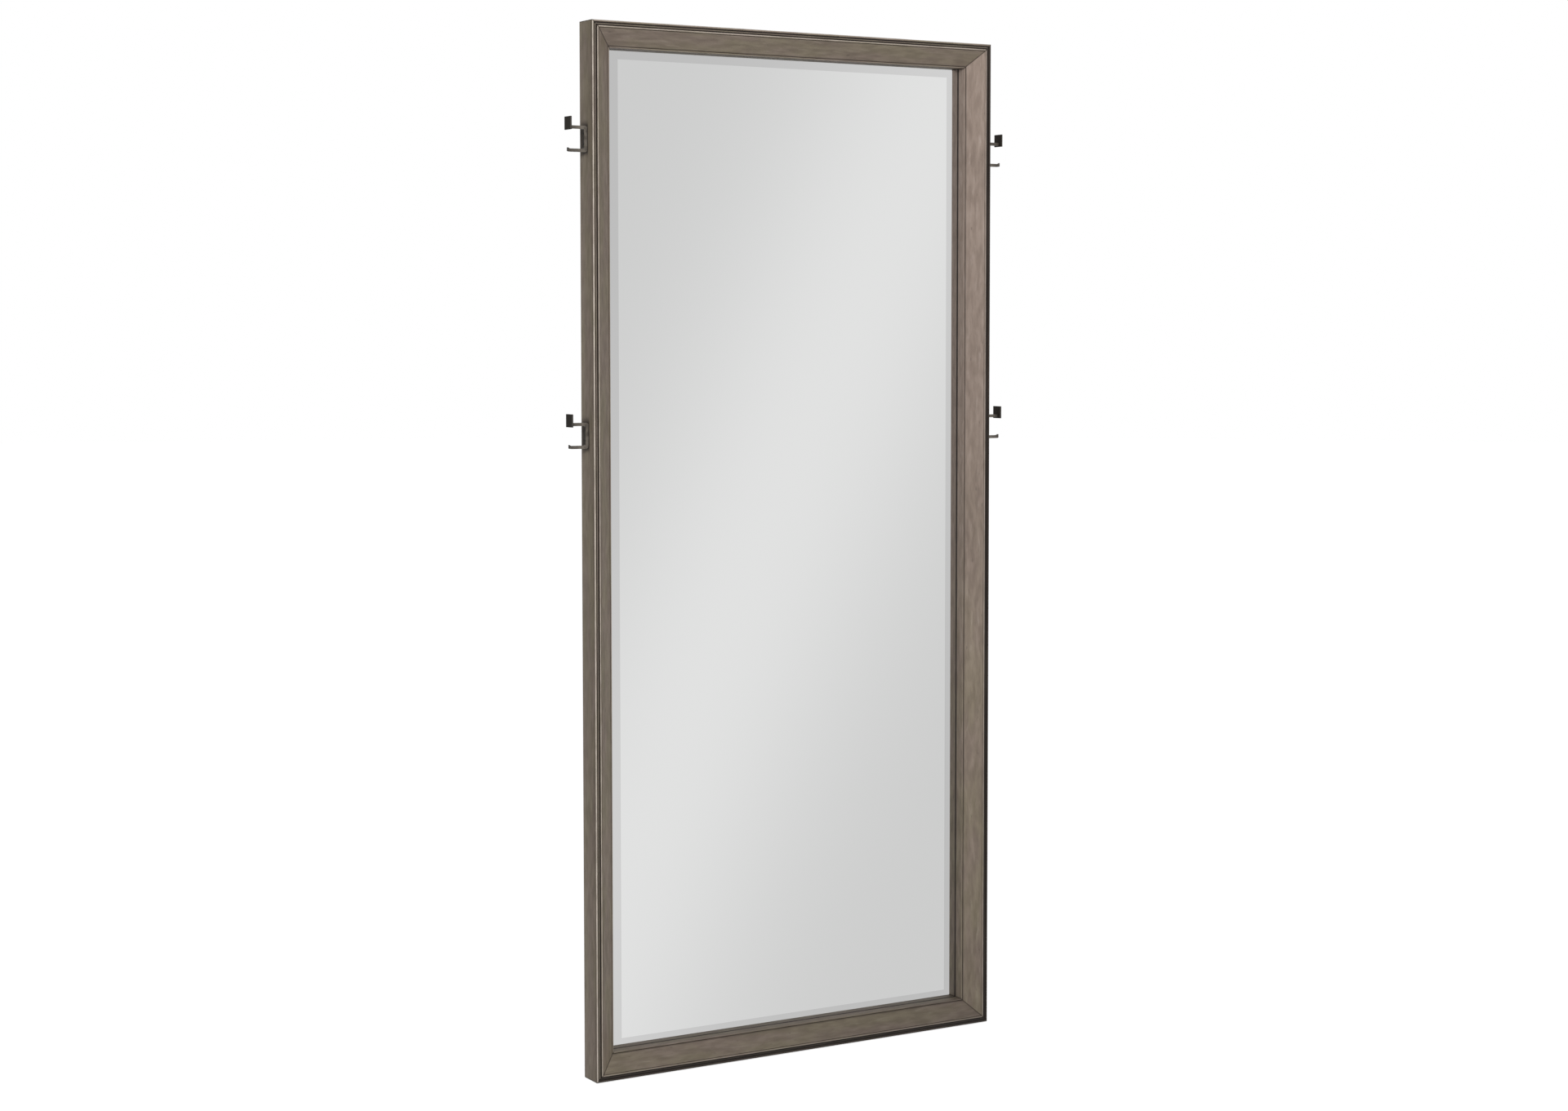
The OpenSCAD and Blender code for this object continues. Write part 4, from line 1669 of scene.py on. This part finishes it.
@dataclass
class WallHanger:
    """Steel strap with a curled eye, and the D-ring that swings in it, in millimetres."""

    frame: WoodFrame
    side: Side
    from_top: float = 330.0
    inset: float = 24.0
    wire: float = 4.0
    ring_w: float = 26.0
    ring_leg: float = 8.0
    ring_bend: float = 3.0
    strap_w: float = 20.0
    strap_t: float = 1.5
    strap_length: float = 62.0
    strap_edge: float = 0.25
    neck: float = 1.0
    eye_gap: float = 0.08
    eye_lift: float = 0.3
    curl: float = 292.0
    screw_top: float = 35.0
    screw_gap: float = 17.0
    finish: ZincSteel = field(default_factory=ZincSteel)

    @property
    def eye_r(self) -> float:
        """Outside radius of the eye."""
        return self.wire / 2 + self.eye_gap + self.strap_t

    def place(self) -> Matrix:
        """Gives the hanger's place: Y out of the frame's back, Z up from the hinge."""
        x = self.side.value * (self.frame.width / 2 - self.inset)
        return Matrix.Translation((x, self.frame.back, self.frame.below_top(self.from_top)))

    def build_strap(self) -> None:
        """Makes the strap with its curled eye."""
        bm = bmesh.new()
        r, neck = self.strap_w / 2, -self.eye_r - self.neck
        foot = arc((0, -self.strap_length + r), r, 180, 360, 16)
        slab(bm, [(x, 0, z) for x, z in [*foot, (r, neck), (-r, neck)]], (0, self.strap_t, 0))
        bm.normal_update()
        top = [f for f in bm.faces if f.calc_center_median().z > neck - NEAR]
        raised = only(BMFace, push(bm, top, (0, self.eye_lift, -neck)))
        turn(bm, region(raised), (0, self.eye_lift + self.eye_r, 0), (1, 0, 0), -self.curl, 22)
        face_outward(bm)
        soften(bm, self.strap_edge, sharper=60)
        bm.transform(self.place())
        node = f"hanger_strap_{self.side.word}"
        finish_piece(bm, Piece(f"zinc_{node}", (node,), self.finish), flat_over=50.0)

    def build_ring(self) -> None:
        """Makes the D-ring, hanging down from its bar."""
        bm = bmesh.new()
        bend, leg = self.ring_bend, self.ring_leg
        half = (self.ring_w + self.wire) / 2 - bend
        upright = Matrix.Rotation(math.radians(90), 4, "Y")
        bmesh.ops.create_circle(bm, cap_ends=False, segments=16, radius=self.wire / 2, matrix=upright)
        loop = self.straight(bm, bm.edges[:], (half, 0, 0))
        loop = self.bent(bm, loop, (half, 0, -bend), 90, 6)
        loop = self.straight(bm, loop, (0, 0, bend - leg))
        loop = self.bent(bm, loop, (0, 0, -leg), 180, 22)
        loop = self.straight(bm, loop, (0, 0, leg - bend))
        loop = self.bent(bm, loop, (-half, 0, -bend), 90, 6)
        self.straight(bm, loop, (half, 0, 0))
        bmesh.ops.remove_doubles(bm, verts=bm.verts[:], dist=NEAR)
        bm.transform(self.place() @ Matrix.Translation((0, self.eye_lift + self.eye_r, 0)))
        node = f"hanger_ring_{self.side.word}"
        piece = Piece(f"zinc_{node}", (node,), self.finish, body=f"ring_{self.side.word}")
        finish_piece(bm, piece, sharper=60.0, flat_over=1e6)

    def straight(self, bm: BMesh, loop: list[BMEdge], by: Sequence[float]) -> list[BMEdge]:
        """Extrudes the wire's end straight on.

        Args:
            bm: The ring's mesh.
            loop: Edges of the wire's end.
            by: How far it goes.

        Returns:
            Edges of the new end.
        """
        made = bmesh.ops.extrude_edge_only(bm, edges=loop)["geom"]
        ends = only(BMVert, made)
        bmesh.ops.translate(bm, verts=ends, vec=by)
        return [edge for edge in only(BMEdge, made) if set(edge.verts) <= set(ends)]

    def bent(
        self, bm: BMesh, loop: list[BMEdge], centre: Sequence[float], degrees: float, steps: int
    ) -> list[BMEdge]:
        """Bends the wire on round an axis along Y.

        Args:
            bm: The ring's mesh.
            loop: Edges of the wire's end.
            centre: Middle of the bend.
            degrees: Angle of the bend.
            steps: Number of steps.

        Returns:
            Edges of the new end.
        """
        return only(BMEdge, turn(bm, region(loop), centre, (0, 1, 0), degrees, steps))

    def build(self) -> None:
        """Makes the strap and the ring."""
        self.build_strap()
        self.build_ring()

    def screw_places(self) -> list[Matrix]:
        """Gives the places of the strap's two screws."""
        depths = (-self.screw_top - i * self.screw_gap for i in (0, 1))
        return [facing(self.place() @ Vector((0, self.strap_t, depth))) for depth in depths]


# Bumpers


@dataclass
class Bumpers:
    """Rubber that carries the frame and keeps it off the floor and the wall, in millimetres."""

    frame: WoodFrame
    side: Side
    thickness: float = 10.0
    wall_r: float = 12.0
    wall_inset: float = 22.0
    wall_from_top: float = 80.0
    wall_foot: float = 0.3
    edge: float = 2.0
    base_t: float = 2.0
    base_length: float = 80.0
    base_height: float = 30.0
    base_setback: float = 20.0
    base_inset: float = 87.0
    base_edge: float = 0.5
    # Least angle of a rim, in radians
    rim_angle: float = 1.0
    base_screw_gap: float = 44.0
    base_screw_z: float = 18.75
    seat_depth: float = 5.0
    seat_r: float = 3.1
    seat_rim: float = 0.4
    finish: Rubber = field(default_factory=Rubber)

    @property
    def outer_y(self) -> float:
        """Row-frame Y of the bumpers' outer faces."""
        return self.frame.back + self.thickness

    @property
    def base_x(self) -> float:
        """Row-frame X of the middle of the base bumper."""
        return self.side.value * (self.frame.width / 2 - self.base_inset)

    def wall_point(self) -> Vector:
        """Gives the middle of the wall bumper's outer face."""
        x = self.side.value * (self.frame.width / 2 - self.wall_inset)
        return Vector((x, self.outer_y, self.frame.below_top(self.wall_from_top)))

    def base_points(self) -> list[Vector]:
        """Gives the middles of the base bumper's two seats, on its outer face."""
        half, height = self.side.value * self.base_screw_gap / 2, WOOD_Z + self.base_screw_z
        return [Vector((self.base_x + way, self.outer_y, height)) for way in (-half, half)]

    def build_wall(self) -> None:
        """Makes the round bumper near the top."""
        bm = bmesh.new()
        r, edge, seat, lip = self.wall_r, self.edge, self.seat_r, self.seat_rim
        rim = arc((seat + lip, -lip), lip, 180, 90, 3)
        shoulder = arc((r - edge, -edge), edge, 90, 0, 6)
        low, cut_off = -self.thickness, self.wall_foot
        foot = [(r, low + cut_off), (r - cut_off, low), (0, low)]
        outline = [(0, -self.seat_depth), (seat, -self.seat_depth), *rim, *shoulder, *foot]
        lathe(bm, outline, 48)
        bm.transform(facing(self.wall_point()))
        node = f"wall_bumper_{self.side.word}"
        finish_piece(bm, Piece(f"rubber_{node}", (node,), self.finish), flat_over=1e6)

    def build_base(self) -> None:
        """Makes the bumper round the lower back edge."""
        bm = bmesh.new()
        setback, back, low = self.base_setback, self.frame.depth, -self.base_t
        outer, high = back + self.thickness, self.base_height - self.base_t
        section = [(setback, low), (outer, low), (outer, high), (back, high), (back, 0), (setback, 0)]
        left = self.base_x - self.base_length / 2
        corners = [bm.verts.new((left, FRONT_Y + y, WOOD_Z + z)) for y, z in section]
        bm.faces.new(corners)
        round_off(bm, [corners[section.index((outer, high))]], self.edge, 6, corners=True)
        push(bm, bm.faces[:], (self.base_length, 0, 0))
        face_outward(bm)
        round_off(bm, [edge for edge in bm.edges if self.is_rim(edge)], self.base_edge, 3)
        size = {"radius1": self.seat_r, "radius2": self.seat_r, "depth": 2 * self.seat_depth}
        for point in self.base_points():
            cutter = bmesh.new()
            bmesh.ops.create_cone(cutter, cap_ends=True, segments=32, matrix=facing(point), **size)
            carve(bm, cutter)
        node = f"base_bumper_{self.side.word}"
        finish_piece(bm, Piece(f"rubber_{node}", (node,), self.finish), flat_over=25.0)

    def is_rim(self, edge: BMEdge) -> bool:
        """Tells whether an edge of the base bumper is sharp and doesn't lie in the angle against the wood."""
        in_angle = all(math.dist(v.co.yz, (self.frame.back, WOOD_Z)) < NEAR for v in edge.verts)
        return edge.calc_face_angle() > self.rim_angle and not in_angle

    def build(self) -> None:
        """Makes both bumpers of the side."""
        self.build_wall()
        self.build_base()

    def screw_places(self) -> list[Matrix]:
        """Gives the places of the side's three screws."""
        deep = Vector((0, self.seat_depth, 0))
        return [facing(point - deep) for point in (self.wall_point(), *self.base_points())]


# Studio


@dataclass
class Studio:
    """Floor, soft light, surroundings and camera, in metres."""

    floor_r: float = 30.0
    floor_paint: float = 0.82
    floor_glow: float = 0.72
    sky: float = 0.36
    key_power: float = 110.0
    key_size: float = 1.5
    key_at: Triple = (-1.76, -3.11, 2.98)
    key_aim: Triple = (0.0, 0.0, 1.1)
    # Brightness beside the band of light and what the band adds, its azimuth and elevation in degrees, the
    # way across it, and its half width in degrees
    band_level: Pair = (0.690, 0.170)
    band_at: Pair = (34.5, 5.4)
    band_across: Pair = (0.921, -0.389)
    band_half: float = 3.3
    # Where the dark screen hangs, how closely a direction points at its edge and its inside, and its darkness
    screen_at: Triple = (-0.44, 0.897, 0.02)
    screen_edge: Pair = (0.84, 0.95)
    screen_dark: float = 0.85
    camera_at: Triple = (-2.7938, -4.6508, 1.4575)
    yaw: float = 30.822
    tilt: float = 3.503
    roll: float = -0.029
    lens: float = 62.54
    shift_y: float = -0.04

    def build_floor(self) -> None:
        """Lays the floor: white to the camera, with the object's soft shadow on it."""
        bm = bmesh.new()
        bmesh.ops.create_circle(bm, cap_ends=True, segments=64, radius=self.floor_r)
        floor = new_object("floor", new_mesh("floor", bm))
        material = bpy.data.materials.new("white_floor")
        material.use_nodes = True
        graph = Graph(material.node_tree)
        path = graph.add("LightPath", {})
        paint = graph.add("BsdfDiffuse", {"Color": rgb(*[self.floor_paint] * 3)}).outputs[0]
        lit = graph.add("Emission", {"Color": rgb(1, 1, 1), "Strength": self.floor_glow}).outputs[0]
        seen = graph.add("AddShader", {0: paint, 1: lit}).outputs[0]
        open_floor = graph.add("BsdfTransparent", {}).outputs[0]
        surface = graph.add("MixShader", {0: path.outputs["Is Camera Ray"], 1: paint, 2: seen}).outputs[0]
        mixed = graph.add("MixShader", {0: path.outputs["Is Glossy Ray"], 1: surface, 2: open_floor})
        graph.add("OutputMaterial", {"Surface": mixed.outputs[0]})
        floor.data.materials.append(material)

    def surroundings(self, graph: Graph) -> Socket:
        """Shades what polished surfaces see: a pale studio, a diagonal band of light and a dark screen.

        Args:
            graph: The world's graph.

        Returns:
            The brightness by direction.
        """
        direction = graph.add("TexCoord", {}).outputs["Generated"]
        x, y, z = graph.add("SeparateXYZ", {0: direction}).outputs
        degree = 180 / math.pi
        azimuth = graph.times(graph.math("ARCTAN2", x, graph.times(y, -1.0)), degree)
        elevation = graph.times(graph.math("ARCSINE", z), degree)
        aside = graph.times(graph.math("SUBTRACT", azimuth, self.band_at[0]), self.band_across[0])
        above = graph.math("SUBTRACT", elevation, self.band_at[1])
        aside = graph.math("MULTIPLY_ADD", above, self.band_across[1], aside)
        spread = graph.math("POWER", graph.math("ABSOLUTE", graph.math("DIVIDE", aside, self.band_half)), 2.0)
        band = graph.math("EXPONENT", graph.times(spread, -1.0))
        level = graph.math("MULTIPLY_ADD", band, self.band_level[1], self.band_level[0])
        toward = graph.add("VectorMath", {0: direction, 1: self.screen_at}, operation="DOT_PRODUCT")
        screen = graph.band(toward.outputs["Value"], *self.screen_edge)
        return graph.times(level, graph.math("MULTIPLY_ADD", screen, -self.screen_dark, 1.0))

    def build_world(self) -> None:
        """Makes the world: white to the camera, plain light for the object, a studio for its reflections."""
        world = bpy.data.worlds.new("studio")
        bpy.context.scene.world = world
        world.use_nodes = True
        graph = Graph(world.node_tree)
        path = graph.add("LightPath", {}).outputs
        plain, shown, white = (
            graph.add("Background", {"Color": rgb(1, 1, 1), "Strength": strength}).outputs[0]
            for strength in (self.sky, self.surroundings(graph), 1.0)
        )
        mirrored = graph.math("MAXIMUM", path["Is Glossy Ray"], path["Is Transmission Ray"])
        surface = graph.add("MixShader", {0: mirrored, 1: plain, 2: shown}).outputs[0]
        surface = graph.add("MixShader", {0: path["Is Camera Ray"], 1: surface, 2: white}).outputs[0]
        graph.add("OutputWorld", {"Surface": surface})

    def build_light(self) -> None:
        """Hangs the soft lamp in front of the object, to the left and above."""
        lamp = bpy.data.lights.new("soft_lamp", "AREA")
        lamp.shape = "DISK"
        lamp.size = self.key_size
        lamp.energy = self.key_power
        hung = new_object("soft_lamp", lamp)
        hung.location = self.key_at
        aim = Vector(self.key_aim) - Vector(self.key_at)
        hung.rotation_euler = aim.to_track_quat("-Z", "Y").to_euler()
        hung.visible_glossy = False

    def build_camera(self) -> None:
        """Sets the camera where the photograph was taken."""
        data = bpy.data.cameras.new("camera")
        data.sensor_width = 36.0
        data.lens = self.lens
        data.shift_y = self.shift_y
        camera = new_object("camera", data)
        yaw, tilt = math.radians(self.yaw), math.radians(self.tilt)
        aim = Vector((math.sin(yaw) * math.cos(tilt), math.cos(yaw) * math.cos(tilt), -math.sin(tilt)))
        rolled = Matrix.Rotation(math.radians(self.roll), 4, "Z")
        turned = aim.to_track_quat("-Z", "Y").to_matrix().to_4x4() @ rolled
        camera.matrix_world = Matrix.Translation(self.camera_at) @ turned
        bpy.context.scene.camera = camera

    def build(self) -> None:
        """Makes the camera, the floor, the surroundings and the lamp."""
        self.build_camera()
        self.build_floor()
        self.build_world()
        self.build_light()
        bpy.context.scene.view_settings.view_transform = "Standard"


def main() -> None:
    """Builds the studio and the object's pieces in it."""
    logging.basicConfig(level=logging.INFO, format="%(name)s: %(message)s")
    Studio().build()
    wood = WoodFrame()
    wood.build()
    MitreNails(wood).build()
    backing = Backing(wood)
    BevelledMirror(wood, backing.panel_t).build()
    backing.build()
    hooks = [DoubleHook(wood, side, row, from_top) for row, from_top in HOOK_ROWS.items() for side in Side]
    hangers = [WallHanger(wood, side) for side in Side]
    bumpers = [Bumpers(wood, side) for side in Side]
    for part in (*hooks, *hangers, *bumpers):
        part.build()
    sets = (
        ("bronze_hook_screws", "hook_screws", Screw(1.5, 25.0, Head.COUNTERSUNK), DarkBronze(), hooks),
        ("zinc_hanger_screws", "hanger_screws", Screw(1.9, 22.0), ZincSteel(), hangers),
        ("zinc_bumper_screws", "bumper_screws", Screw(1.5, 22.0), ZincSteel(), bumpers),
    )
    for name, node, screw, finish, parts in sets:
        places = [place for part in parts for place in part.screw_places()]
        drive_screws(screw, places, Piece(name, (node,), finish))


if __name__ == "__main__":
    main()
